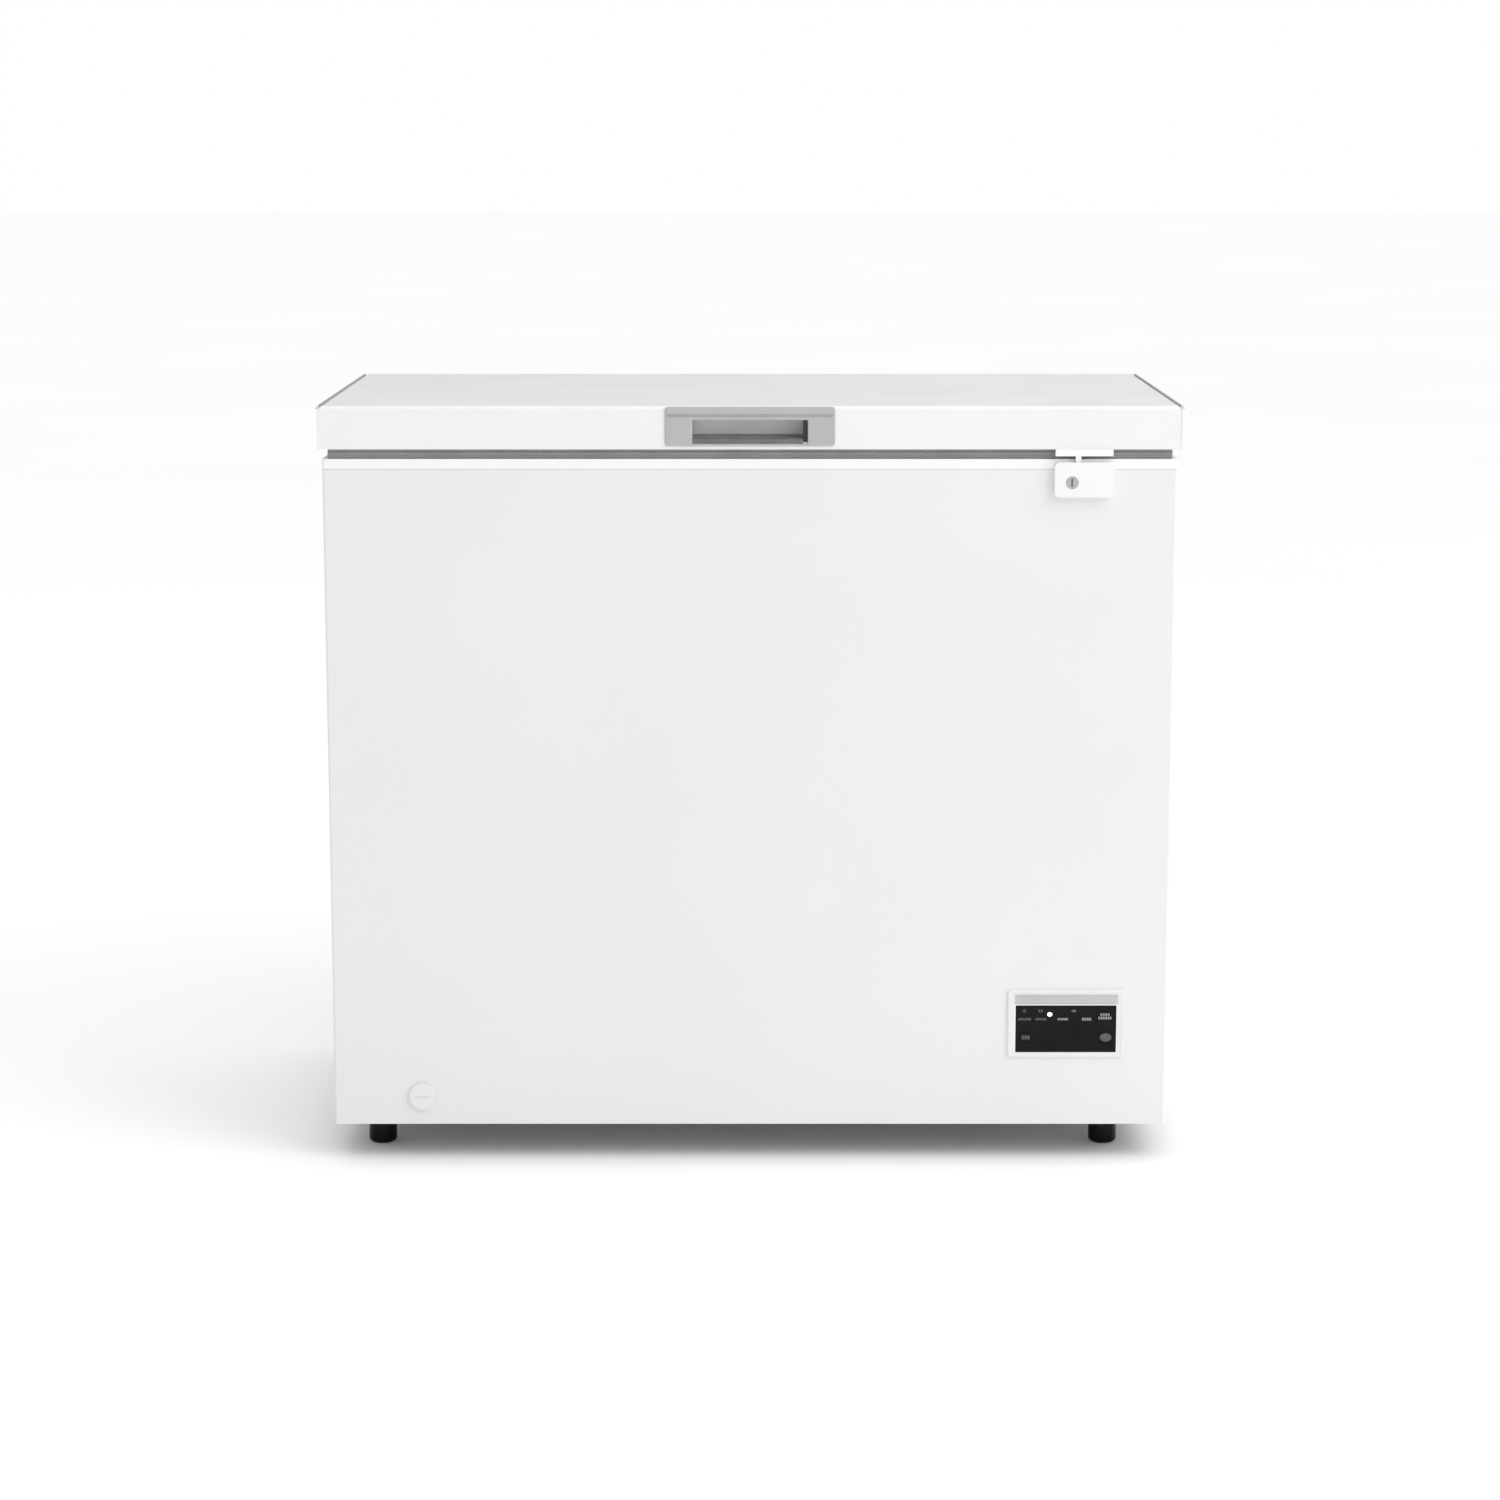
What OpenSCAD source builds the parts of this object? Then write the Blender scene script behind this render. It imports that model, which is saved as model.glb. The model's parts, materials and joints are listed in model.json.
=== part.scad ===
// Chest freezer, lid closed.  Origin on the floor under the middle of the cabinet, +Z up, front towards -Y.

/* [Overall] */
// Width over the lid
lid_w = 945; // [925:1:985]
// Depth from the lock to the back of the hinges
depth = 523; // [515:1:560]
// Height to the top of the lid
height = 850; // [840:1:900]
// Width of the cabinet
case_w = 937; // [917:1:945]
// Height of the cabinet's lower edge above the floor
foot_h = 40; // [40:1:46]

/* [Cabinet] */
// Thickness of the foamed walls
wall_t = 52; // [48:1:56]
// Thickness of the painted sheet
sheet_t = 0.8; // [0.6:0.1:1]
// Height of the visible strip of the top frame
frame_h = 11; // [9:1:13]
// Gap between the top frame and the lid, filled by the gasket
gasket_gap = 11; // [9:1:13]
// Height of the lid
lid_h = 47; // [44:1:50]
// Radius of the bends along the cabinet's upright corners
case_r = 3; // [2:0.5:5]

/* [Compressor compartment] */
// Inside width of the compartment at the right-hand end
bay_w = 206; // [200:1:210]
// Inside height of the compartment
bay_h = 196; // [192:1:204]
// Diameter of the compressor shell
compressor_d = 152; // [140:1:156]

/* [Front fittings] */
// Width of the handle bezel
handle_w = 186; // [170:1:200]
// Width of the finger opening in the handle
grip_w = 126; // [100:1:136]
// Width of the control bezel
panel_w = 131; // [128:1:136]
// Middle of the control bezel across the front
panel_x = 355; // [350:1:360]
// Middle of the lock housing across the front
lock_x = 365.5; // [350:0.5:370]
// Position of the drain cap across the front
drain_x = -369; // [-375:1:-340]
// Height of the drain cap above the floor
drain_z = 72; // [68:1:76]

/* [Basket] */
// Length of the basket along the freezer
basket_w = 184; // [150:2:188]
// Depth of the basket below its rim
basket_h = 160; // [120:5:180]
// Wires across the basket
cross_wires = 8; // [5:1:10]
// Wires along the basket's floor
floor_wires = 11; // [7:1:13]

/* [Feet and hinges] */
// Diameter of the front feet and the rear rollers
foot_d = 32; // [28:1:36]
// Distance from the middle of the cabinet to each hinge
hinge_x = 300; // [260:5:340]
// Diameter of the hinge pin
pin_d = 6; // [5:0.5:7]
// Turns of the hinge spring
spring_turns = 6; // [4:1:7]

/* [Hidden] */
$fn = 64;

fit = 0.1;              // gap left between pieces that are assembled against each other
run = 0.05;             // radial clearance of a running fit
cut = 1;                // how far a cutter runs past the face that it opens
case_x = case_w / 2;
front_y = 9.5 - depth / 2;
rear_y = depth / 2 - 13.5;
lid_z = height - lid_h;
frame_z = lid_z - gasket_gap;
sheet_top = frame_z - frame_h;
foam_top = sheet_top - 5;
floor_z = foot_h + wall_t;
tub_x = case_x - wall_t;
tub_front = front_y + wall_t;
tub_rear = rear_y - wall_t;
tub_r = 10;
bay_x = case_x - sheet_t - bay_w;
bay_top = foot_h + bay_h;
step_x = bay_x - wall_t + 2;
step_z = bay_top + wall_t - 2;
ledge_w = 10;
ledge_z = frame_z - 6;

// Lid
lid_x = lid_w / 2;
trim_t = 1.5;
lid_front = front_y - 3.5;
lid_rear = rear_y - 2;
lid_wall = 1;
lid_r = 5;
plug_x = tub_x - 8.5;
plug_front = tub_front + 8;
plug_rear = tub_rear - 8;
plug_z = lid_z - 8;
gasket_w = 14;
gasket_x = lid_x - 10;
gasket_front = lid_front + 8.5;
gasket_rear = rear_y - 10;
pivot_y = rear_y + 7;
pivot_z = frame_z + 5;

// Handle
handle_x = handle_w / 2;
handle_z = lid_z + 3.5;
grip_x = grip_w / 2;
grip_bottom = lid_z + 8;
grip_top = height - 15;
pocket_back = lid_front + 32;
handle_front = lid_front - 2;

// Lock
lock_w = 65;
lock_bottom = sheet_top - 30;
lock_top = frame_z - 3;
lock_front = -depth / 2;
key_x = lock_x - 13.5;
key_z = lock_bottom + 16;
key_d = 14;
cam_r = 17;
catch_pin_d = 3;
pin_track = 12;
pin_angle = 55;
pin_x = key_x + pin_track * cos(pin_angle);
pin_z = key_z + pin_track * sin(pin_angle);
catch_z = lid_z - 7.4;

// Control panel
panel_z = foot_h + 117;
panel_h = 78;
window_w = 113;
window_h = 54;
window_z = panel_z - 6.2;
key_pitch = 45;
key_row = window_z - 10;
key_gap = 0.3;

// Drain
spout_d = 16;
spout_bore = 12;
drain_y = tub_front + 30;

// Refrigeration circuit
tube_d = 6;
capillary_d = 3;
channel_d = tube_d + 1;
tube_gap = tube_d / 2 + 0.3;
bend_r = tub_r + sheet_t + tube_gap;
stub_z = bay_top - 20;
evap_x = tub_x + sheet_t + tube_gap;
evap_front = tub_front - sheet_t - tube_gap;
evap_rear = tub_rear + sheet_t + tube_gap;
evap_turns = 4;
evap_z = step_z + 60;
evap_pitch = 105;
riser_x = 60;
riser_step = 40;
return_y = evap_rear + 2 * bend_r + 2;
evap_in_x = bay_x + 88;
evap_out_x = bay_x + 28;
cond_y = rear_y - sheet_t - tube_gap;
cond_tail_y = cond_y - 2 * bend_r - 2;
cond_runs = 6;
cond_z = bay_top + 60;
cond_pitch = 80;
cond_x = 410;
cond_in_x = case_x - 40;
cond_out_x = case_x - 20;

// Compressor
comp_x = bay_x + 96;
comp_y = 60;
comp_foot_x = 64;
comp_foot_y = 60;
comp_base = foot_h + 12;
comp_h = 156;
port_x = 30;
port_y = comp_y + compressor_d / 2 + 12;
discharge_z = comp_base + 58;
suction_z = comp_base + 38;

// Sensor pocket behind the tub's rear wall
sensor_x = [-205, -165];
sensor_y = [tub_rear + sheet_t + fit + 0.3, tub_rear + sheet_t + fit + 6.3];
sensor_z = [430, 436];

// Rear hardware
hinge_plate_t = 1.5;
hinge_reach = 23;
plate_holes = [for (dx = [-16, 16], dz = [30, 90]) [dx, frame_z - dz]];
bracket_holes = [for (s = [-1, 1], p = plate_holes) [s * hinge_x + p[0], p[1]]];
cover_x = [bay_x + 6, case_x - 10];
cover_z = [foot_h + 4, bay_top - 6];
cover_mid = (cover_x[0] + cover_x[1]) / 2;
cover_holes = [
    for (x = [cover_x[0] + 4, cover_mid, cover_x[1] - 4], z = [cover_z[0] + 4, cover_z[1] - 4])
        [x, z]
];
gland_x = bay_x + 40;
gland_z = foot_h + 30;

// Feet and rollers
foot_y = front_y + 72;
foot_left_x = -422;
foot_right_x = 405;
roller_x = 410;
roller_y = rear_y - 52;
stud_d = 8;
axle_d = 6;

// A box between two limits on each axis.
module block(x, y, z) {
    translate([x[0], y[0], z[0]])
        cube([x[1] - x[0], y[1] - y[0], z[1] - z[0]]);
}

// A flat outline with round corners between two limits on each axis.
module rounded(x, y, r) {
    translate([x[0] + r, y[0]]) square([x[1] - x[0] - 2 * r, y[1] - y[0]]);
    translate([x[0], y[0] + r]) square([x[1] - x[0], y[1] - y[0] - 2 * r]);
    for (cx = [x[0] + r, x[1] - r], cy = [y[0] + r, y[1] - r])
        translate([cx, cy]) circle(r);
}

// The same outline in X and Z, given thickness along Y.
module upright_plate(x, y, z, r) {
    translate([0, y[1], 0]) rotate([90, 0, 0])
        linear_extrude(y[1] - y[0]) rounded(x, z, r);
}

// A cylinder that lies along +Y from y0 to y1.
module rod_y(x, z, d, y0, y1) {
    translate([x, y0, z]) rotate([-90, 0, 0]) cylinder(d = d, h = y1 - y0);
}

// A cylinder that lies along +X from x0 to x1.
module rod_x(y, z, d, x0, x1) {
    translate([x0, y, z]) rotate([0, 90, 0]) cylinder(d = d, h = x1 - x0);
}

// Two limits measured from a centre.
function span(c, ends) = [c + ends[0], c + ends[1]];
function unit(v) = v / norm(v);
function side_of(u) = abs(u[2]) < 0.9 ? unit(cross(u, [0, 0, 1])) : [1, 0, 0];

// Places children with their X, Y and Z along three given directions.
module aim(x, y, z, at) {
    multmatrix([
        [x[0], y[0], z[0], at[0]],
        [x[1], y[1], z[1], at[1]],
        [x[2], y[2], z[2], at[2]]
    ]) children();
}

module straight(a, b, d) {
    u = unit(b - a);
    s = side_of(u);
    aim(s, cross(u, s), u, a) cylinder(d = d, h = norm(b - a));
}

module elbow(corner, u, v, r, d) {
    aim(-v, u, cross(u, v), corner - r * u + r * v)
        rotate_extrude(angle = 90) translate([r, 0]) circle(d = d);
}

// A tube through a list of points with square turns, each bent to radius r.
module bent_tube(pts, r, d) {
    n = len(pts);
    dirs = [for (i = [0 : n - 2]) unit(pts[i + 1] - pts[i])];
    for (i = [0 : n - 2])
        straight(
            pts[i] + (i == 0 ? 0 : r) * dirs[i],
            pts[i + 1] - (i == n - 2 ? 0 : r) * dirs[i], d
        );
    for (i = [1 : n - 2]) elbow(pts[i], dirs[i - 1], dirs[i], r, d);
}

// A straight wire with flat facets, long enough to close the corner at each end.
module wire(a, b, d) {
    u = unit(b - a);
    s = side_of(u);
    aim(s, cross(u, s), u, a - u * d * 0.4) cylinder(d = d, h = norm(b - a) + d * 0.8, $fn = 8);
}

module wire_path(pts, d) {
    for (i = [0 : len(pts) - 2]) wire(pts[i], pts[i + 1], d);
}

// A pan-head screw with a cross recess, its head on the plane y and facing +Y.
module rear_screw(x, y, z) {
    difference() {
        union() {
            rod_y(x, z, 7.5, y, y + 2.2);
            rod_y(x, z, 3.6, y - 7, y);
        }
        block([x - 2.2, x + 2.2], [y + 1.1, y + 3], [z - 0.45, z + 0.45]);
        block([x - 0.45, x + 0.45], [y + 1.1, y + 3], [z - 2.2, z + 2.2]);
    }
}

/* ---- Cabinet shell ---- */

module case_outline(inset) {
    rounded(
        [-case_x + inset, case_x - inset],
        [front_y + inset, rear_y + case_r + cut],
        case_r - inset
    );
}

module vent_slots() {
    for (i = [0 : 8])
        block([case_x - 3, case_x + cut], [-150, -30], [foot_h + 34 + i * 16, foot_h + 39 + i * 16]);
}

module outer_case() {
    color("white") difference() {
        translate([0, 0, foot_h]) linear_extrude(sheet_top - foot_h) difference() {
            case_outline(0);
            case_outline(sheet_t);
        }
        block([-case_w, case_w], [rear_y, rear_y + 3 * case_r], [0, height]);
        block(
            [panel_x - panel_w / 2 + 2, panel_x + panel_w / 2 - 2],
            [front_y - cut, front_y + 3],
            [panel_z - panel_h / 2 + 2, panel_z + panel_h / 2 - 2]
        );
        rod_y(drain_x, drain_z, spout_d + 2 * fit, front_y - cut, front_y + 3);
        vent_slots();
    }
}

module rear_panel() {
    color("gainsboro") difference() {
        block(
            [-case_x + sheet_t + fit, case_x - sheet_t - fit],
            [rear_y - sheet_t, rear_y], [foot_h + sheet_t, sheet_top]
        );
        block(
            [bay_x + 14, case_x - 18], [rear_y - 3, rear_y + cut],
            [foot_h + 12, bay_top - 14]
        );
        for (p = bracket_holes) rod_y(p[0], p[1], 4, rear_y - 3, rear_y + cut);
        for (p = cover_holes) rod_y(p[0], p[1], 4, rear_y - 3, rear_y + cut);
    }
}

module base_plate() {
    color("silver") difference() {
        block(
            [-case_x + sheet_t + fit, bay_x - fit],
            [front_y + sheet_t + fit, rear_y - fit], [foot_h, foot_h + sheet_t]
        );
        translate([foot_left_x, foot_y, 0]) cylinder(d = stud_d + 1, h = foot_h + 5);
    }
}

// The bent sheet that shuts the foam off from the compressor compartment.
module compartment_wall() {
    color("silver") difference() {
        union() {
            block(
                [bay_x - sheet_t, bay_x], [front_y + sheet_t + fit, rear_y - sheet_t - fit],
                [foot_h + sheet_t + fit, bay_top]
            );
            block(
                [bay_x - sheet_t, case_x - sheet_t - fit],
                [front_y + sheet_t + fit, rear_y - sheet_t - fit],
                [bay_top, bay_top + sheet_t]
            );
        }
        for (p = bay_tubes)
            translate([p[0], p[1], bay_top - cut]) cylinder(d = channel_d, h = 3);
    }
}

module compressor_tray() {
    color("silver") difference() {
        union() {
            block(
                [bay_x + fit, case_x - sheet_t - fit],
                [front_y + sheet_t + fit, rear_y - sheet_t - fit], [foot_h, foot_h + 2]
            );
            block(
                [bay_x + fit, bay_x + fit + 2],
                [front_y + sheet_t + fit, rear_y - sheet_t - fit], [foot_h + 1, foot_h + 10]
            );
        }
        translate([foot_right_x, foot_y, 0]) cylinder(d = stud_d + 1, h = foot_h + 5);
        for (x = [-1, 1], y = [-1, 1])
            translate([comp_x + x * comp_foot_x, comp_y + y * comp_foot_y, 0])
                cylinder(d = 6.4, h = foot_h + 5);
    }
}

/* ---- Insulated tub ---- */

module tub_outline(grow) {
    rounded([-tub_x - grow, tub_x + grow], [tub_front - grow, tub_rear + grow], tub_r + grow);
}

// The room in the tub, grown outwards on every side, up to a given height.
module tub(grow, top) {
    difference() {
        translate([0, 0, floor_z - grow]) linear_extrude(top - floor_z + grow)
            tub_outline(grow);
        block(
            [step_x + grow, tub_x + grow + cut],
            [tub_front - grow - cut, tub_rear + grow + cut], [foot_h, step_z - grow]
        );
    }
}

module inner_liner() {
    color("lightgray") difference() {
        tub(sheet_t, foam_top);
        tub(0, foam_top + cut);
        translate([drain_x, drain_y, floor_z - 3]) cylinder(d = spout_d + 2 * fit, h = 5);
    }
}

// What fits inside the case between two heights, with the assembly gap all round.
module inside_case(z) {
    translate([0, 0, z[0]]) linear_extrude(z[1] - z[0]) difference() {
        case_outline(sheet_t + fit);
        translate([-case_w, rear_y - sheet_t - fit]) square([2 * case_w, 10 * case_r]);
    }
}

module foam_block() {
    gap = sheet_t + fit;
    difference() {
        inside_case([foot_h + gap, foam_top]);
        tub(gap, foam_top + cut);
        block([bay_x - gap, case_x], [front_y, rear_y], [foot_h - cut, bay_top + gap]);
    }
}

module slot_between(a, b) {
    r = channel_d / 2;
    block(
        [min(a[0], b[0]) - r, max(a[0], b[0]) + r],
        [min(a[1], b[1]) - r, max(a[1], b[1]) + r],
        [min(a[2], b[2]) - r, max(a[2], b[2]) + r]
    );
}

// Square channels that clear a bent tube, widened at the inside of each bend.
module channels(pts) {
    n = len(pts);
    for (i = [0 : n - 2]) slot_between(pts[i], pts[i + 1]);
    for (i = [1 : n - 2])
        slot_between(
            pts[i] - bend_r * unit(pts[i] - pts[i - 1]),
            pts[i] + bend_r * unit(pts[i + 1] - pts[i])
        );
}

module insulation_foam() {
    color("khaki") difference() {
        foam_block();
        channels(cond_path);
        channels(evap_path);
        drain_pipe(spout_d + 2 * fit, fit);
        translate([foot_left_x, foot_y, foot_h]) cylinder(d = stud_d + 4, h = 32);
        block(
            sensor_x + [-fit, fit], [tub_rear, sensor_y[1] + fit], sensor_z + [-fit, fit]
        );
        for (p = bracket_holes) rod_y(p[0], p[1], 4, rear_y - 10, rear_y);
    }
}

module top_frame() {
    color("white") difference() {
        union() {
            translate([0, 0, sheet_top]) linear_extrude(frame_h)
                rounded([-case_x, case_x], [front_y, rear_y], case_r);
            inside_case([foam_top, sheet_top + cut]);
        }
        frame_mouth(0, foam_top - cut);
        frame_mouth(ledge_w, ledge_z);
    }
}

// The opening through the top frame, from a given height upwards.
module frame_mouth(grow, low) {
    translate([0, 0, low]) linear_extrude(frame_z + cut - low) tub_outline(grow);
}

/* ---- Refrigeration circuit ---- */

// The evaporator climbs round the tub, one riser further right on every turn, then returns behind itself.
evap_path = [
    [evap_in_x, evap_rear, stub_z],
    [evap_in_x, evap_rear, evap_z - 30],
    [riser_x, evap_rear, evap_z - 30],
    for (i = [0 : evap_turns - 1], p = evap_turn(i)) p,
    [riser_x + evap_turns * riser_step, return_y, evap_z + (evap_turns - 1) * evap_pitch],
    [riser_x + evap_turns * riser_step, return_y, evap_z - 56],
    [evap_out_x, return_y, evap_z - 56],
    [evap_out_x, return_y, stub_z]
];
function evap_turn(i) = let (z = evap_z + i * evap_pitch) [
    [riser_x + i * riser_step, evap_rear, z],
    [-evap_x, evap_rear, z], [-evap_x, evap_front, z],
    [evap_x, evap_front, z], [evap_x, evap_rear, z],
    [riser_x + (i + 1) * riser_step, evap_rear, z]
];

// The condenser runs to and fro behind the rear panel.
function cond_end(i) = i % 2 == 0 ? -cond_x : cond_x;
cond_path = [
    [cond_in_x, cond_tail_y, stub_z],
    [cond_in_x, cond_tail_y, cond_z - 2.5 * bend_r],
    [cond_in_x, cond_y, cond_z - 2.5 * bend_r],
    [cond_in_x, cond_y, cond_z],
    for (i = [0 : cond_runs - 2], k = [0, 1]) [cond_end(i), cond_y, cond_z + (i + k) * cond_pitch],
    [cond_out_x, cond_y, cond_z + (cond_runs - 1) * cond_pitch],
    [cond_out_x, cond_y, cond_z - 2.5 * bend_r],
    [cond_out_x, cond_tail_y, cond_z - 2.5 * bend_r],
    [cond_out_x, cond_tail_y, stub_z]
];
bay_tubes = [
    [evap_in_x, evap_rear], [evap_out_x, return_y],
    [cond_in_x, cond_tail_y], [cond_out_x, cond_tail_y]
];

module evaporator_coil() {
    color("silver") bent_tube(evap_path, bend_r, tube_d);
}

module condenser_coil() {
    color("silver") bent_tube(cond_path, bend_r, tube_d);
}

// The welded shell, with its foot plate and the two ports that face the rear.
module compressor() {
    r = compressor_d / 2;
    shell_r = 34;
    color("black") difference() {
        union() {
            translate([comp_x, comp_y, comp_base + 3]) rotate_extrude() {
                translate([0, 10]) square([r, comp_h - 10 - shell_r]);
                square([r - 10, comp_h]);
                intersection() {
                    translate([r - shell_r, comp_h - shell_r]) circle(shell_r);
                    square([r, comp_h]);
                }
                translate([0, 82]) square([r + 3, 4]);
            }
            block(
                span(comp_x, [-comp_foot_x - 14, comp_foot_x + 14]),
                span(comp_y, [-comp_foot_y - 12, comp_foot_y + 12]), span(comp_base, [0, 4])
            );
            rod_y(comp_x + port_x, discharge_z, 10, comp_y, port_y);
            rod_y(comp_x - port_x, suction_z, 10, comp_y, port_y);
        }
        for (x = [-1, 1], y = [-1, 1])
            translate([comp_x + x * comp_foot_x, comp_y + y * comp_foot_y, comp_base - cut])
                cylinder(d = 16, h = 6);
    }
}

module at_compressor_feet(z) {
    for (x = [-1, 1], y = [-1, 1])
        translate([comp_x + x * comp_foot_x, comp_y + y * comp_foot_y, z]) children();
}

// Four rubber grommets, each gripping the foot plate in its waist.
module compressor_mounts() {
    base = foot_h + 2;
    color("dimgray") at_compressor_feet(base) difference() {
        union() {
            cylinder(d = 22, h = comp_base - base);
            cylinder(d = 15.8, h = comp_base - base + 4);
            translate([0, 0, comp_base - base + 4]) cylinder(d = 20, h = 4);
        }
        translate([0, 0, -cut]) cylinder(d = 6.6, h = 30);
    }
}

module compressor_bolts() {
    color("silver") at_compressor_feet(foot_h - 3) {
        cylinder(d = 10, h = 3, $fn = 6);
        translate([0, 0, 2]) cylinder(d = 6, h = 26);
        translate([0, 0, comp_base - foot_h + 11]) cylinder(d = 14, h = 1.5);
        translate([0, 0, comp_base - foot_h + 12.5]) cylinder(d = 11, h = 4, $fn = 6);
    }
}

module start_relay_cover() {
    x0 = comp_x - 26;
    color("dimgray") difference() {
        block([x0, x0 + 52], span(comp_y, [-compressor_d / 2 - 30, -compressor_d / 2 + 12]), [96, 150]);
        translate([comp_x, comp_y, 0]) cylinder(d = compressor_d + 6.6, h = height);
    }
}

module filter_drier() {
    color("peru") translate([cond_out_x, cond_tail_y, 0]) rotate_extrude()
        polygon([
            [0, 84], [2, 84], [2, 92], [9, 104], [9, 184], [3, 196], [3, stub_z], [0, stub_z]
        ]);
}

module capillary_tube() {
    low = foot_h + 26;
    color("peru") bent_tube([
        [cond_out_x, cond_tail_y, 84],
        [cond_out_x, cond_tail_y, low],
        [cond_out_x, 180, low],
        [evap_in_x, 180, low],
        [evap_in_x, 180, stub_z - 26],
        [evap_in_x, evap_rear, stub_z - 26],
        [evap_in_x, evap_rear, stub_z]
    ], 8, capillary_d);
}

module discharge_pipe() {
    color("peru") bent_tube([
        [comp_x + port_x, port_y, discharge_z],
        [comp_x + port_x, cond_tail_y, discharge_z],
        [cond_in_x, cond_tail_y, discharge_z],
        [cond_in_x, cond_tail_y, stub_z]
    ], bend_r, tube_d);
}

module suction_pipe() {
    color("peru") bent_tube([
        [comp_x - port_x, port_y, suction_z],
        [comp_x - port_x, return_y, suction_z],
        [evap_out_x, return_y, suction_z],
        [evap_out_x, return_y, stub_z]
    ], bend_r, tube_d);
}

module power_board_box() {
    color("gainsboro") difference() {
        block([bay_x + 24, bay_x + 104], [-205, -125], [foot_h + 2, foot_h + 44]);
        for (i = [0 : 5])
            block(
                [bay_x + 32 + i * 12, bay_x + 38 + i * 12], [-195, -135],
                [foot_h + 42, foot_h + 46]
            );
    }
}

module power_inlet_gland() {
    color("dimgray") difference() {
        union() {
            rod_y(gland_x, gland_z, 17.8, rear_y - 8, rear_y + 2);
            rod_y(gland_x, gland_z, 24, rear_y + 1, rear_y + 4);
            rod_y(gland_x, gland_z, 15, rear_y + 3, rear_y + 11);
        }
        rod_y(gland_x, gland_z, 9, rear_y - 9, rear_y + 12);
    }
}

module rear_cover() {
    color("silver") difference() {
        block(cover_x, [rear_y, rear_y + 1], cover_z);
        for (i = [0 : 6])
            block(
                cover_x + [60, -24], [rear_y - cut, rear_y + 2],
                [cover_z[0] + 30 + i * 20, cover_z[0] + 38 + i * 20]
            );
        for (p = cover_holes) rod_y(p[0], p[1], 4, rear_y - cut, rear_y + 2);
        rod_y(gland_x, gland_z, 18, rear_y - cut, rear_y + 2);
    }
}

module rear_cover_screws() {
    color("silver") for (p = cover_holes) rear_screw(p[0], rear_y + 1, p[1]);
}

/* ---- Control panel ---- */

win_x = span(panel_x, [-window_w / 2, window_w / 2]);
win_z = span(window_z, [-window_h / 2, window_h / 2]);
key_w = 15;
key_h = 12;

module key_shape(x, y, grow) {
    upright_plate(
        span(x, [-key_w / 2 - grow, key_w / 2 + grow]), y,
        span(key_row, [-key_h / 2 - grow, key_h / 2 + grow]), 3
    );
}

module control_bezel() {
    x = span(panel_x, [-panel_w / 2, panel_w / 2]);
    z = span(panel_z, [-panel_h / 2, panel_h / 2]);
    color("white") difference() {
        union() {
            upright_plate(x, [front_y - 2, front_y], z, 4);
            block(x + [2.3, -2.3], [front_y - cut, front_y + 15], z + [2.3, -2.3]);
        }
        upright_plate(x + [7, -7], [front_y - 3, front_y - 0.6], z + [5, -5], 2);
        block(win_x + [-fit, fit], [front_y - 3, front_y + 3], win_z + [-fit, fit]);
        block(win_x + [3, -3], [front_y, front_y + 17], win_z + [3, -3]);
    }
}

module display_window() {
    color("black") difference() {
        block(win_x, [front_y - 1, front_y + 2.8], win_z);
        block(win_x + [4, -4], [front_y + 1, front_y + 4], win_z + [4, -4]);
        for (s = [-1, 1]) key_shape(panel_x + s * key_pitch, span(front_y, [-2, 2]), key_gap);
    }
}

module push_key(x) {
    color("black") union() {
        key_shape(x, span(front_y, [-1.1, 3.2]), 0);
        rod_y(x, key_row, 5, front_y + 3, front_y + 6);
    }
}

module mode_key() {
    push_key(panel_x - key_pitch);
}

module set_key() {
    push_key(panel_x + key_pitch);
}

module display_board() {
    color("darkgreen") union() {
        block(win_x + [4, -4], span(front_y, [9, 10.6]), win_z + [4, -4]);
        for (s = [-1, 1])
            block(span(panel_x + s * key_pitch, [-3, 3]), span(front_y, [7.2, 9]), span(key_row, [-3, 3]));
        block(span(panel_x, [-18, 10]), span(front_y, [10, 14]), span(win_z[0], [14, 34]));
    }
}

/* ---- Drain ---- */

// The pipe falls from the tub's floor and turns forward to the spout in the front panel.
module drain_pipe(d, grow) {
    bent_tube([
        [drain_x, drain_y, floor_z - sheet_t - fit],
        [drain_x, drain_y, drain_z],
        [drain_x, front_y - grow, drain_z]
    ], 10, d);
}

module drain_tube() {
    color("white") difference() {
        union() {
            drain_pipe(spout_d, 0);
            translate([drain_x, drain_y, floor_z - sheet_t - fit])
                cylinder(d = spout_d, h = sheet_t);
        }
        drain_bore();
    }
}

module drain_bore() {
    bent_tube([
        [drain_x, drain_y, floor_z + cut],
        [drain_x, drain_y, drain_z],
        [drain_x, front_y - cut, drain_z]
    ], 10, spout_bore);
}

module drain_cap() {
    color("white") difference() {
        union() {
            rod_y(drain_x, drain_z, 32, front_y - 2.8, front_y - 0.2);
            rod_y(drain_x, drain_z, 28, front_y - 3.6, front_y - 2);
            rod_y(drain_x, drain_z, spout_bore - 2 * run, front_y - 1, front_y + 12);
        }
        block(span(drain_x, [-9, 9]), span(front_y, [-5, -2.8]), span(drain_z, [-1, 1]));
    }
}

module drain_plug() {
    z = floor_z + 0.2;
    color("dimgray") translate([drain_x, drain_y, z]) union() {
        cylinder(d = 26, h = 3);
        translate([0, 0, 2]) cylinder(d = 9, h = 9);
        translate([0, 0, -6]) cylinder(d = spout_bore - 2 * run, h = 7);
    }
}

module temperature_sensor() {
    color("silver") rod_x(
        (sensor_y[0] + sensor_y[1]) / 2, (sensor_z[0] + sensor_z[1]) / 2,
        sensor_y[1] - sensor_y[0], sensor_x[0], sensor_x[1]
    );
}

/* ---- Lock ---- */

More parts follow.
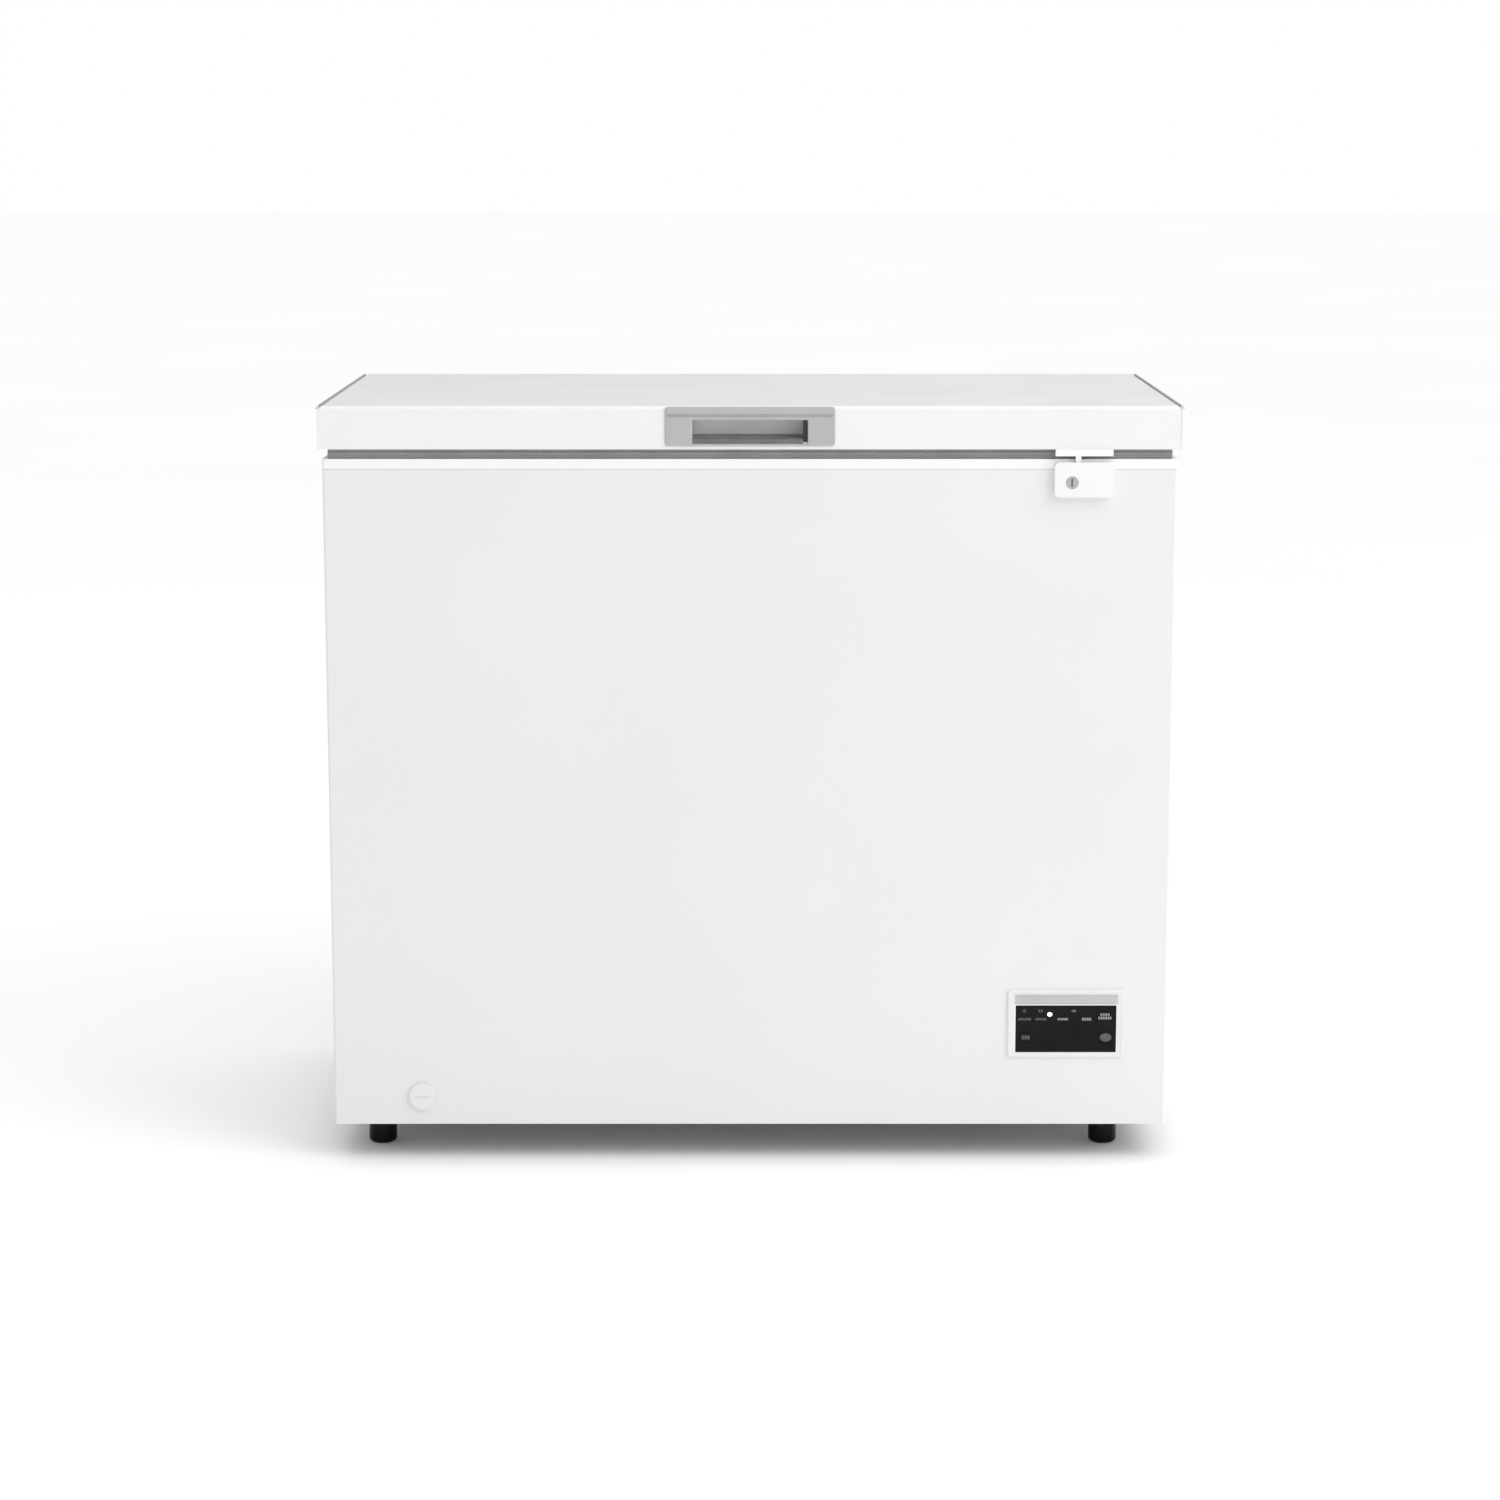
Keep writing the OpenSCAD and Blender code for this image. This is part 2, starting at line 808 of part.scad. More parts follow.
// The housing is hollow behind the key, with a way in from above for the catch's tongue.
module lock_housing() {
    x = span(lock_x, [-lock_w / 2, lock_w / 2]);
    color("white") difference() {
        upright_plate(x, [lock_front, front_y], [lock_bottom, lock_top], 5);
        rod_y(key_x, key_z, key_d + 2 * run, lock_front - cut, front_y - 3.9);
        block(
            span(key_x, [-cam_r - 0.6, cam_r + 1]), [front_y - 4, front_y + cut],
            span(key_z, [-14, cam_r + 1])
        );
        block(
            span(pin_x, [-2.5, 2.5]), [front_y - 4, front_y + cut],
            [pin_z, lock_top + cut]
        );
        block(
            span(pin_x, [-3.7, 3.7]), span(front_y, [-6.6, -3.5]),
            [pin_z - 4, lock_top + cut]
        );
    }
}

module lock_cylinder() {
    color("silver") difference() {
        rod_y(key_x, key_z, key_d, lock_front + 0.4, front_y - 3.6);
        block([key_x - 1, key_x + 1], [lock_front, lock_front + 5], [key_z - 4, key_z + 4]);
    }
}

// Points along an arc about the key, from one angle to another.
function arc(r, a0, a1) = [
    for (i = [0 : 12]) let (a = a0 + (a1 - a0) * i / 12) r * [cos(a), sin(a)]
];

// The cam on the back of the key cylinder.  Its curved slot carries the catch's pin and closes over it.
module lock_cam() {
    slot_w = catch_pin_d / 2 + 0.4;
    slot_end = asin(slot_w / pin_track);
    first = pin_angle - 90 - slot_end;
    last = pin_angle + slot_end;
    color("gainsboro") translate([key_x, front_y - 1.2, key_z]) rotate([90, 0, 0])
        linear_extrude(2.4) difference() {
            union() {
                circle(key_d / 2 + 1.5);
                polygon(concat([[0, 0]], arc(cam_r, first - 6, 90)));
            }
            polygon(concat(arc(pin_track + slot_w, first, last), arc(pin_track - slot_w, last, first)));
            translate(pin_track * [cos(pin_angle), sin(pin_angle)] - [slot_w, 0])
                square([2 * slot_w, cam_r]);
        }
}

module lid_catch() {
    color("white") union() {
        block(span(lock_x, [-31.5, 31.5]), [front_y - 6, lid_front + 7], [catch_z, lid_z]);
        block(span(pin_x, [-3, 3]), span(front_y, [-5.9, -4.1]), [pin_z - 3, catch_z + 1]);
        rod_y(pin_x, pin_z, catch_pin_d, front_y - 5, front_y - 1.4);
    }
}

/* ---- Hinges ---- */

module hinge_bracket(x) {
    color("silver") difference() {
        union() {
            block(
                span(x, [-27, 27]), span(rear_y, [0, hinge_plate_t]), [frame_z - 110, frame_z - 8]
            );
            for (s = [-1, 1]) {
                ear = span(x, s > 0 ? [hinge_reach - 2, hinge_reach] : [-hinge_reach, 2 - hinge_reach]);
                block(ear, [rear_y, depth / 2], [frame_z - 64, pivot_z]);
                rod_x(pivot_y, pivot_z, 13, ear[0], ear[1]);
            }
        }
        for (s = [-1, 1])
            block(
                span(x + s * hinge_reach, [-3, 3]), [rear_y - cut, rear_y + 0.5],
                [frame_z - 8, pivot_z + 10]
            );
        rod_x(pivot_y, pivot_z, pin_d, x - 30, x + 30);
        for (p = plate_holes) rod_y(x + p[0], p[1], 4, rear_y - cut, rear_y + 5);
    }
}

module hinge_bracket_left() {
    hinge_bracket(-hinge_x);
}

module hinge_bracket_right() {
    hinge_bracket(hinge_x);
}

module hinge_pins() {
    color("gray") for (s = [-1, 1]) {
        rod_x(pivot_y, pivot_z, pin_d, s * hinge_x - 25, s * hinge_x + 23.1);
        rod_x(pivot_y, pivot_z, 10, s * hinge_x + 23.1, s * hinge_x + 25);
    }
}

// A torsion spring wound on the pin, with a leg that lies along the bracket.
module hinge_spring(x) {
    wire_r = 0.8;
    coil_r = pin_d / 2 + 1.5;
    leg = 30;
    steps = 16 * spring_turns;
    sides = 8;
    x0 = x - 19.5;
    x1 = x - 7.8;
    function turn(i) = 180 - 360 * spring_turns * max(i - 1, 0) / steps;
    function centre(i) = [
        x0 + (x1 - x0) * max(i - 1, 0) / steps,
        pivot_y + coil_r * cos(turn(i)),
        pivot_z + coil_r * sin(turn(i)) - (i == 0 ? leg : 0)
    ];
    function ring(i) = [
        for (k = [0 : sides - 1]) let (a = 360 * k / sides)
            centre(i) + wire_r * [sin(a), cos(a) * cos(turn(i)), cos(a) * sin(turn(i))]
    ];
    points = [for (i = [0 : steps + 1], p = ring(i)) p];
    walls = [
        for (i = [0 : steps], k = [0 : sides - 1])
            let (a = i * sides + k, b = i * sides + (k + 1) % sides)
                each [[a, a + sides, b + sides], [a, b + sides, b]]
    ];
    first = [for (k = [0 : sides - 1]) k];
    last = [for (k = [sides - 1 : -1 : 0]) (steps + 1) * sides + k];
    color("gray") polyhedron(points, concat(walls, [first, last]));
}

module hinge_spring_left() {
    hinge_spring(-hinge_x);
}

module hinge_spring_right() {
    hinge_spring(hinge_x);
}

module hinge_bracket_screws() {
    color("silver") for (p = bracket_holes) rear_screw(p[0], rear_y + hinge_plate_t, p[1]);
}

module hinge_arm(x) {
    grip = span(x, [-6, 15]);
    color("silver") difference() {
        union() {
            block(span(x, [-20, 20]), span(lid_rear, [0, 2]), [lid_z + 1, height - 8]);
            block(grip, [lid_rear + 1, pivot_y + 4], span(pivot_z, [3, 8]));
            rod_x(pivot_y, pivot_z, 12, grip[0], grip[1]);
        }
        rod_x(pivot_y, pivot_z, pin_d + 2 * run, grip[0] - cut, grip[1] + cut);
        for (p = arm_holes) rod_y(x + p[0], p[1], 4, lid_rear - cut, lid_rear + 3);
    }
}
arm_holes = [[-14, lid_z + 30], [14, lid_z + 30], [0, lid_z + 18]];

module hinge_arm_left() {
    hinge_arm(-hinge_x);
}

module hinge_arm_right() {
    hinge_arm(hinge_x);
}

module hinge_arm_screws() {
    color("silver") for (s = [-1, 1], p = arm_holes)
        rear_screw(s * hinge_x + p[0], lid_rear + 2, p[1]);
}

/* ---- Lid ---- */

// A block with its long top edges rolled to radius r.
module rolled_top(x, y, z, r) {
    intersection() {
        translate([0, y[1], 0]) rotate([90, 0, 0])
            linear_extrude(y[1] - y[0]) top_outline(x, z, r);
        translate([x[0], 0, 0]) rotate([90, 0, 90])
            linear_extrude(x[1] - x[0]) top_outline(y, z, r);
    }
}

module top_outline(u, z, r) {
    translate([u[0], z[0]]) square([u[1] - u[0], z[1] - z[0] - r]);
    translate([u[0] + r, z[0]]) square([u[1] - u[0] - 2 * r, z[1] - z[0]]);
    for (c = [u[0] + r, u[1] - r]) translate([c, z[1] - r]) circle(r);
}

module lid_panel() {
    x = lid_x - trim_t;
    color("white") difference() {
        rolled_top([-x, x], [lid_front, lid_rear], [lid_z, height], lid_r);
        rolled_top(
            [-x + lid_wall, x - lid_wall], [lid_front + lid_wall, lid_rear - lid_wall],
            [lid_z - cut, height - lid_wall], lid_r - lid_wall
        );
        block(
            [-handle_x + 8, handle_x - 8], [lid_front - cut, lid_front + 3],
            [handle_z + 3, height - 8]
        );
        for (s = [-1, 1], p = arm_holes)
            rod_y(s * hinge_x + p[0], p[1], 4, lid_rear - 3, lid_rear + cut);
    }
}

module lid_end_trim(s) {
    inner = lid_x - trim_t;
    x = s > 0 ? [inner, lid_x] : [-lid_x, -inner];
    color("gray") translate([x[0], 0, 0]) rotate([90, 0, 90])
        linear_extrude(trim_t) top_outline([lid_front - 0.5, lid_rear], [lid_z, height], lid_r);
}

module lid_end_trim_left() {
    lid_end_trim(-1);
}

module lid_end_trim_right() {
    lid_end_trim(1);
}

module lid_foam() {
    x = lid_x - trim_t - lid_wall - fit;
    color("khaki") difference() {
        union() {
            rolled_top(
                [-x, x], [lid_front + lid_wall + fit, lid_rear - lid_wall - fit],
                [lid_z + 2 + fit, height - lid_wall - fit], lid_r - lid_wall - fit
            );
            block(
                [-plug_x + 2 + fit, plug_x - 2 - fit],
                [plug_front + 2 + fit, plug_rear - 2 - fit],
                [plug_z + 2 + fit, lid_z + 4]
            );
        }
        block([-grip_x - 8, grip_x + 8], [lid_front, pocket_back + 2], [plug_z, height]);
        for (s = [-1, 1], p = arm_holes)
            rod_y(s * hinge_x + p[0], p[1], 4, lid_rear - 12, lid_rear + cut);
    }
}

module lid_liner() {
    x = lid_x - trim_t - lid_wall - fit;
    color("white") difference() {
        union() {
            block(
                [-x, x], [lid_front + lid_wall + fit, lid_rear - lid_wall - fit],
                span(lid_z, [0, 2])
            );
            block([-plug_x, plug_x], [plug_front, plug_rear], [plug_z, lid_z + 1]);
        }
        block(
            [-plug_x + 2, plug_x - 2], [plug_front + 2, plug_rear - 2],
            [plug_z + 2, lid_z + 3]
        );
    }
}

// The gasket: a soft bellows ring with a groove along its outer face.
module lid_gasket() {
    color("gray") difference() {
        block(
            [-gasket_x, gasket_x], [gasket_front, gasket_rear], [frame_z + 0.2, lid_z]
        );
        block(
            [-gasket_x + gasket_w, gasket_x - gasket_w],
            [gasket_front + gasket_w, gasket_rear - gasket_w],
            [frame_z - cut, lid_z + cut]
        );
        difference() {
            block(
                [-gasket_x - cut, gasket_x + cut], [gasket_front - cut, gasket_rear + cut],
                span(lid_z, [-5, -3])
            );
            block(
                [-gasket_x + 3, gasket_x - 3], [gasket_front + 3, gasket_rear - 3],
                span(lid_z, [-6, -2])
            );
        }
    }
}

/* ---- Handle ---- */

module handle_bezel() {
    color("silver") difference() {
        upright_plate([-handle_x, handle_x], [handle_front, lid_front], [handle_z, height - 0.4], 4);
        upright_plate(
            [-grip_x, grip_x], [handle_front - cut, lid_front + cut], [grip_bottom - 2, grip_top], 3
        );
    }
}

// The cup behind the bezel, with room for the fingers under the bezel's upper band.
module handle_pocket() {
    inner = [
        [lid_front - cut, grip_bottom], [pocket_back, grip_bottom],
        [pocket_back, grip_bottom + 6], [pocket_back - 8, grip_bottom + 6.5],
        [pocket_back - 10, grip_top + 4], [lid_front + 3, grip_top + 4],
        [lid_front + 3, grip_top], [lid_front - cut, grip_top]
    ];
    color("darkgray") difference() {
        block(
            [-grip_x - 7, grip_x + 7], [lid_front + fit, pocket_back + 1.8],
            [handle_z + 3.2, height - 8.2]
        );
        translate([-grip_x, 0, 0]) rotate([90, 0, 90])
            linear_extrude(2 * grip_x) polygon(inner);
    }
}

/* ---- Basket ---- */

module basket() {
    d = 3;
    rim_d = 5;
    x = span(tub_x - 10, [-basket_w, 0]);
    y = [tub_front + 12, tub_rear - 12];
    top = ledge_z - 5;
    low = top - basket_h;
    hook_y = [tub_front - 7, tub_rear + 7];
    hook_z = ledge_z + 2.3;
    color("whitesmoke") union() {
        wire_path([
            [x[0], y[0], top], [x[1], y[0], top], [x[1], y[1], top],
            [x[0], y[1], top], [x[0], y[0], top]
        ], rim_d);
        wire_path([
            [x[0], y[0], low + 60], [x[1], y[0], low + 60], [x[1], y[1], low + 60],
            [x[0], y[1], low + 60], [x[0], y[0], low + 60]
        ], d);
        // Wires that run down, across the floor and up again, first along Y, then along X.
        for (i = [0 : cross_wires - 1]) {
            wx = x[0] + 6 + i * (x[1] - x[0] - 12) / (cross_wires - 1);
            wire_path([
                [wx, y[0] + 2, top], [wx, y[0] + 2, low], [wx, y[1] - 2, low], [wx, y[1] - 2, top]
            ], d);
        }
        for (i = [0 : floor_wires - 1]) {
            wy = y[0] + 10 + i * (y[1] - y[0] - 20) / (floor_wires - 1);
            wire_path([
                [x[0] + 2, wy, top], [x[0] + 2, wy, low - 2.2],
                [x[1] - 2, wy, low - 2.2], [x[1] - 2, wy, top]
            ], d);
        }
        for (k = [0, 1]) {
            bend = k == 0 ? y[0] + 2 : y[1] - 2;
            wire_path([
                [x[0] + 30, bend, top], [x[0] + 30, bend, hook_z],
                [x[0] + 30, hook_y[k], hook_z], [x[1] - 30, hook_y[k], hook_z],
                [x[1] - 30, bend, hook_z], [x[1] - 30, bend, top]
            ], 4);
        }
    }
}

/* ---- Feet and rollers ---- */

module foot(x) {
    r = foot_d / 2;
    color("black") translate([x, foot_y, 0]) rotate_extrude() {
        translate([0, 5]) square([r, foot_h - 5 - 1.5 - 2]);
        square([r - 5, 10]);
        intersection() {
            translate([r - 5, 5]) circle(5);
            square([r, 10]);
        }
        translate([0, foot_h - 6]) square([r - 4, 5.5]);
        translate([0, foot_h - 2]) square([stud_d / 2, 30]);
    }
}

module foot_left() {
    foot(foot_left_x);
}

module foot_right() {
    foot(foot_right_x);
}

wheel_w = 18;

module roller_bracket(x) {
    color("silver") difference() {
        union() {
            block(span(x, [-wheel_w / 2 - 4, wheel_w / 2 + 4]), span(roller_y, [-18, 18]), span(foot_h, [-1.6, 0]));
            for (s = [-1, 1]) {
                near = wheel_w / 2 + 1;
                side = span(x, s > 0 ? [near, near + 1.6] : [-near - 1.6, -near]);
                block(side, span(roller_y, [-12, 12]), [foot_d / 2, foot_h - 1]);
                rod_x(roller_y, foot_d / 2, 20, side[0], side[1]);
            }
        }
        rod_x(roller_y, foot_d / 2, axle_d, x - 20, x + 20);
    }
}

module roller_bracket_left() {
    roller_bracket(-roller_x);
}

module roller_bracket_right() {
    roller_bracket(roller_x);
}

module roller_axles() {
    color("gray") for (s = [-1, 1])
        rod_x(roller_y, foot_d / 2, axle_d, s * roller_x - 13, s * roller_x + 13);
}

module roller(x) {
    color("black") difference() {
        rod_x(roller_y, foot_d / 2, foot_d, x - wheel_w / 2, x + wheel_w / 2);
        rod_x(roller_y, foot_d / 2, axle_d + 2 * run, x - 20, x + 20);
        for (s = [-1, 1]) difference() {
            rod_x(
                roller_y, foot_d / 2, foot_d - 8, x + s * wheel_w / 2 - 2, x + s * wheel_w / 2 + 2
            );
            rod_x(roller_y, foot_d / 2, 12, x - 20, x + 20);
        }
    }
}

module roller_left() {
    roller(-roller_x);
}

module roller_right() {
    roller(roller_x);
}

outer_case();
rear_panel();
base_plate();
compartment_wall();
compressor_tray();
insulation_foam();
inner_liner();
top_frame();
evaporator_coil();
condenser_coil();
compressor();
compressor_mounts();
compressor_bolts();
start_relay_cover();
filter_drier();
capillary_tube();
discharge_pipe();
suction_pipe();
power_board_box();
power_inlet_gland();
rear_cover();
rear_cover_screws();
control_bezel();
display_window();
display_board();
mode_key();
set_key();
drain_tube();
drain_cap();
drain_plug();
temperature_sensor();
lock_housing();
lock_cylinder();
lock_cam();
hinge_bracket_left();
hinge_bracket_right();
hinge_pins();
hinge_spring_left();
hinge_spring_right();
hinge_bracket_screws();
lid_panel();
lid_end_trim_left();
lid_end_trim_right();
lid_foam();
lid_liner();
lid_gasket();
handle_bezel();
handle_pocket();
lid_catch();
hinge_arm_left();
hinge_arm_right();
hinge_arm_screws();
basket();
foot_left();
foot_right();
roller_bracket_left();
roller_bracket_right();
roller_axles();
roller_left();
roller_right();
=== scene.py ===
"""A white chest freezer with its lid shut, seen from the front and slightly above, on a pale floor."""
import json
import math

import bmesh
import bpy
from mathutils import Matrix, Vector


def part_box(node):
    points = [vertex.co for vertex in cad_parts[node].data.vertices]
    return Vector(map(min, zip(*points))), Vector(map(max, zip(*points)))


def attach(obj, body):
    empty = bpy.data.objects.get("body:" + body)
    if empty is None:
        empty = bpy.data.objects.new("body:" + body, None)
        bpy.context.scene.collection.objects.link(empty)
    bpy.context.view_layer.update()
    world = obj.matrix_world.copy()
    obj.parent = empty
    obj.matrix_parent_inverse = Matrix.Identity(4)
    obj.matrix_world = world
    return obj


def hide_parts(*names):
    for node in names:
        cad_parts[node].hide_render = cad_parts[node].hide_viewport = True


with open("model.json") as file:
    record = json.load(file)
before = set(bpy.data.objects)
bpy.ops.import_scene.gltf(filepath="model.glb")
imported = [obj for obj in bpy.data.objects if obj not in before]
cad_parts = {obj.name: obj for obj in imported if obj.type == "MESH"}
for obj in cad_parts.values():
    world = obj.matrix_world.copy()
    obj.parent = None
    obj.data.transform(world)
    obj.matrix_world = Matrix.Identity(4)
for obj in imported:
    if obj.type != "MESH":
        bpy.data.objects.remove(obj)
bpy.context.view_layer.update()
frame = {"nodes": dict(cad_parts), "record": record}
MM = 0.001
EVEN = (1, 1, 1)
BEVEL_ANGLE = math.radians(25)
CAD_BEVEL_ANGLE = math.radians(40)
JOIN_DISTANCE = 0.01 * MM
PRINT_GAP = 0.02 * MM
PRINT_DEPTH = 0.08 * MM
FLOOR_REACH = 40
CAMERA_PLACE = (0, -4.197, 1.1645)
CAMERA_DROP = 10.0
CAMERA_LENS = 86.66


# ---- Meshes ----


def piece(name, verts, faces, body, mat, slot, soften=0.0, smooth=False):
    """A mesh in the frame's coordinates that rides on a body, with its edges softened by a bevel."""
    mesh = bpy.data.meshes.new(name)
    mesh.from_pydata([tuple(v) for v in verts], [], faces)
    mesh.materials.append(mat)
    work = bmesh.new()
    work.from_mesh(mesh)
    bmesh.ops.recalc_face_normals(work, faces=work.faces)
    work.to_mesh(mesh)
    work.free()
    for polygon in mesh.polygons:
        polygon.use_smooth = smooth or soften > 0
    obj = bpy.data.objects.new(name, mesh)
    bpy.context.scene.collection.objects.link(obj)
    if soften:
        bevel = obj.modifiers.new("soft_edges", "BEVEL")
        bevel.width = soften
        bevel.segments = 3
        bevel.limit_method = "ANGLE"
        bevel.angle_limit = BEVEL_ANGLE
        bevel.harden_normals = True
    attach(obj, body)
    return obj


def round_rect(u, v, r, steps=6):
    """Points round a rectangle with round corners, anticlockwise."""
    points = []
    centres = ((u[1] - r, v[1] - r), (u[0] + r, v[1] - r), (u[0] + r, v[0] + r), (u[1] - r, v[0] + r))
    for k, (cu, cv) in enumerate(centres):
        for i in range(steps + 1):
            a = math.radians(90 * (k + i / steps))
            points.append((cu + r * math.cos(a), cv + r * math.sin(a)))
    return points


def oval(cu, cv, ru, rv, steps=32):
    """Points round an ellipse, anticlockwise."""
    turns = [2 * math.pi * i / steps for i in range(steps)]
    return [(cu + ru * math.cos(a), cv + rv * math.sin(a)) for a in turns]


def facing(points, y):
    """Outline points in X and Z put on the plane y."""
    return [(u, y, v) for u, v in points]


def level(points, z):
    """Outline points in X and Y put at height z."""
    return [(u, v, z) for u, v in points]


def loft(rings, closed=True):
    """Faces that join rings of equally many points, with a cap on the first and last."""
    n = len(rings[0])
    verts = [p for ring in rings for p in ring]
    faces = [
        (k * n + i, k * n + (i + 1) % n, (k + 1) * n + (i + 1) % n, (k + 1) * n + i)
        for k in range(len(rings) - 1)
        for i in range(n)
    ]
    if closed:
        faces.append(tuple(range(n)))
        faces.append(tuple((len(rings) - 1) * n + i for i in range(n)))
    return verts, faces


def hoop(rings):
    """A ring-shaped solid: the last ring joins back to the first."""
    verts, faces = loft(rings + [rings[0]], closed=False)
    n = len(rings[0])
    last = len(rings) * n
    return verts[:last], [tuple(i % last for i in face) for face in faces]


def merged(parts):
    """Several (verts, faces) pairs as one."""
    verts, faces = [], []
    for part_verts, part_faces in parts:
        start = len(verts)
        verts += part_verts
        faces += [tuple(start + i for i in face) for face in part_faces]
    return verts, faces


def tablet(outline, y, thickness):
    """A thin flat body on the plane y that stands out towards the front."""
    return loft([facing(outline, y), facing(outline, y - thickness)])


def strip(profile, x):
    """A profile in Y and Z carried along X."""
    return loft([[(px, y, z) for y, z in profile] for px in x])


def rounded_path(corners, r, steps=5):
    """A polyline whose inner corners are turned with radius r."""
    points = [corners[0]]
    for a, b, c in zip(corners, corners[1:], corners[2:]):
        a, b, c = Vector(a), Vector(b), Vector(c)
        u, v = (a - b).normalized(), (c - b).normalized()
        centre = b + (u + v) * r
        for i in range(steps + 1):
            t = math.radians(90 * i / steps)
            points.append(centre - v * r * math.cos(t) - u * r * math.sin(t))
    points.append(corners[-1])
    return [Vector(p) for p in points]


def wire_set(name, paths, radius, body, mat):
    """Round wires along polylines, as one curve object. Each path is (points, closed)."""
    curve = bpy.data.curves.new(name, "CURVE")
    curve.dimensions = "3D"
    curve.bevel_depth = radius
    curve.bevel_resolution = 3
    curve.use_fill_caps = True
    for points, closed in paths:
        spline = curve.splines.new("POLY")
        spline.points.add(len(points) - 1)
        for target, point in zip(spline.points, points):
            target.co = (*point, 1)
        spline.use_cyclic_u = closed
        spline.use_smooth = True
    curve.materials.append(mat)
    obj = bpy.data.objects.new(name, curve)
    bpy.context.scene.collection.objects.link(obj)
    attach(obj, body)
    return obj


# ---- Materials ----


def texture(tree, kind, scale, stretch=EVEN, **inputs):
    """A texture in the object's own coordinates, in metres. Returns its grey output."""
    coords = tree.nodes.new("ShaderNodeTexCoord")
    mapping = tree.nodes.new("ShaderNodeMapping")
    mapping.inputs["Scale"].default_value = stretch
    node = tree.nodes.new("ShaderNodeTex" + kind)
    node.inputs["Scale"].default_value = scale
    for key, value in inputs.items():
        node.inputs[key].default_value = value
    tree.links.new(coords.outputs["Object"], mapping.inputs["Vector"])
    tree.links.new(mapping.outputs["Vector"], node.inputs["Vector"])
    return node.outputs["Distance" if kind == "Voronoi" else "Fac"]


def surface(name, dark, light, rough, patch, bumps, **shader):
    """A finish: colour drifts between two tones, roughness varies, and each bump adds relief."""
    mat = bpy.data.materials.new(name)
    mat.use_nodes = True
    tree = mat.node_tree
    bsdf = tree.nodes["Principled BSDF"]
    ramp = tree.nodes.new("ShaderNodeValToRGB")
    for element, position, colour in zip(ramp.color_ramp.elements, (0.3, 0.7), (dark, light)):
        element.position = position
        element.color = (*colour, 1)
    tree.links.new(texture(tree, "Noise", patch), ramp.inputs["Fac"])
    tree.links.new(ramp.outputs["Color"], bsdf.inputs["Base Color"])
    spread = tree.nodes.new("ShaderNodeMapRange")
    for key, value in (("From Min", 0.3), ("From Max", 0.7), ("To Min", rough[0]), ("To Max", rough[1])):
        spread.inputs[key].default_value = value
    tree.links.new(texture(tree, "Noise", patch * 2.7, Detail=5.0), spread.inputs["Value"])
    tree.links.new(spread.outputs["Result"], bsdf.inputs["Roughness"])
    normal = None
    for bump_kind, scale, bump_stretch, strength, depth in bumps:
        bump = tree.nodes.new("ShaderNodeBump")
        bump.inputs["Strength"].default_value = strength
        bump.inputs["Distance"].default_value = depth
        tree.links.new(texture(tree, bump_kind, scale, bump_stretch), bump.inputs["Height"])
        if normal:
            tree.links.new(normal, bump.inputs["Normal"])
        normal = bump.outputs["Normal"]
    tree.links.new(normal, bsdf.inputs["Normal"])
    for key, value in shader.items():
        bsdf.inputs[key.replace("_", " ")].default_value = value
    return mat



def grey(value, warm=0.0):
    """A grey, or one that leans to red by the share warm."""
    return (value * (1 + warm), value, value * (1 - warm))


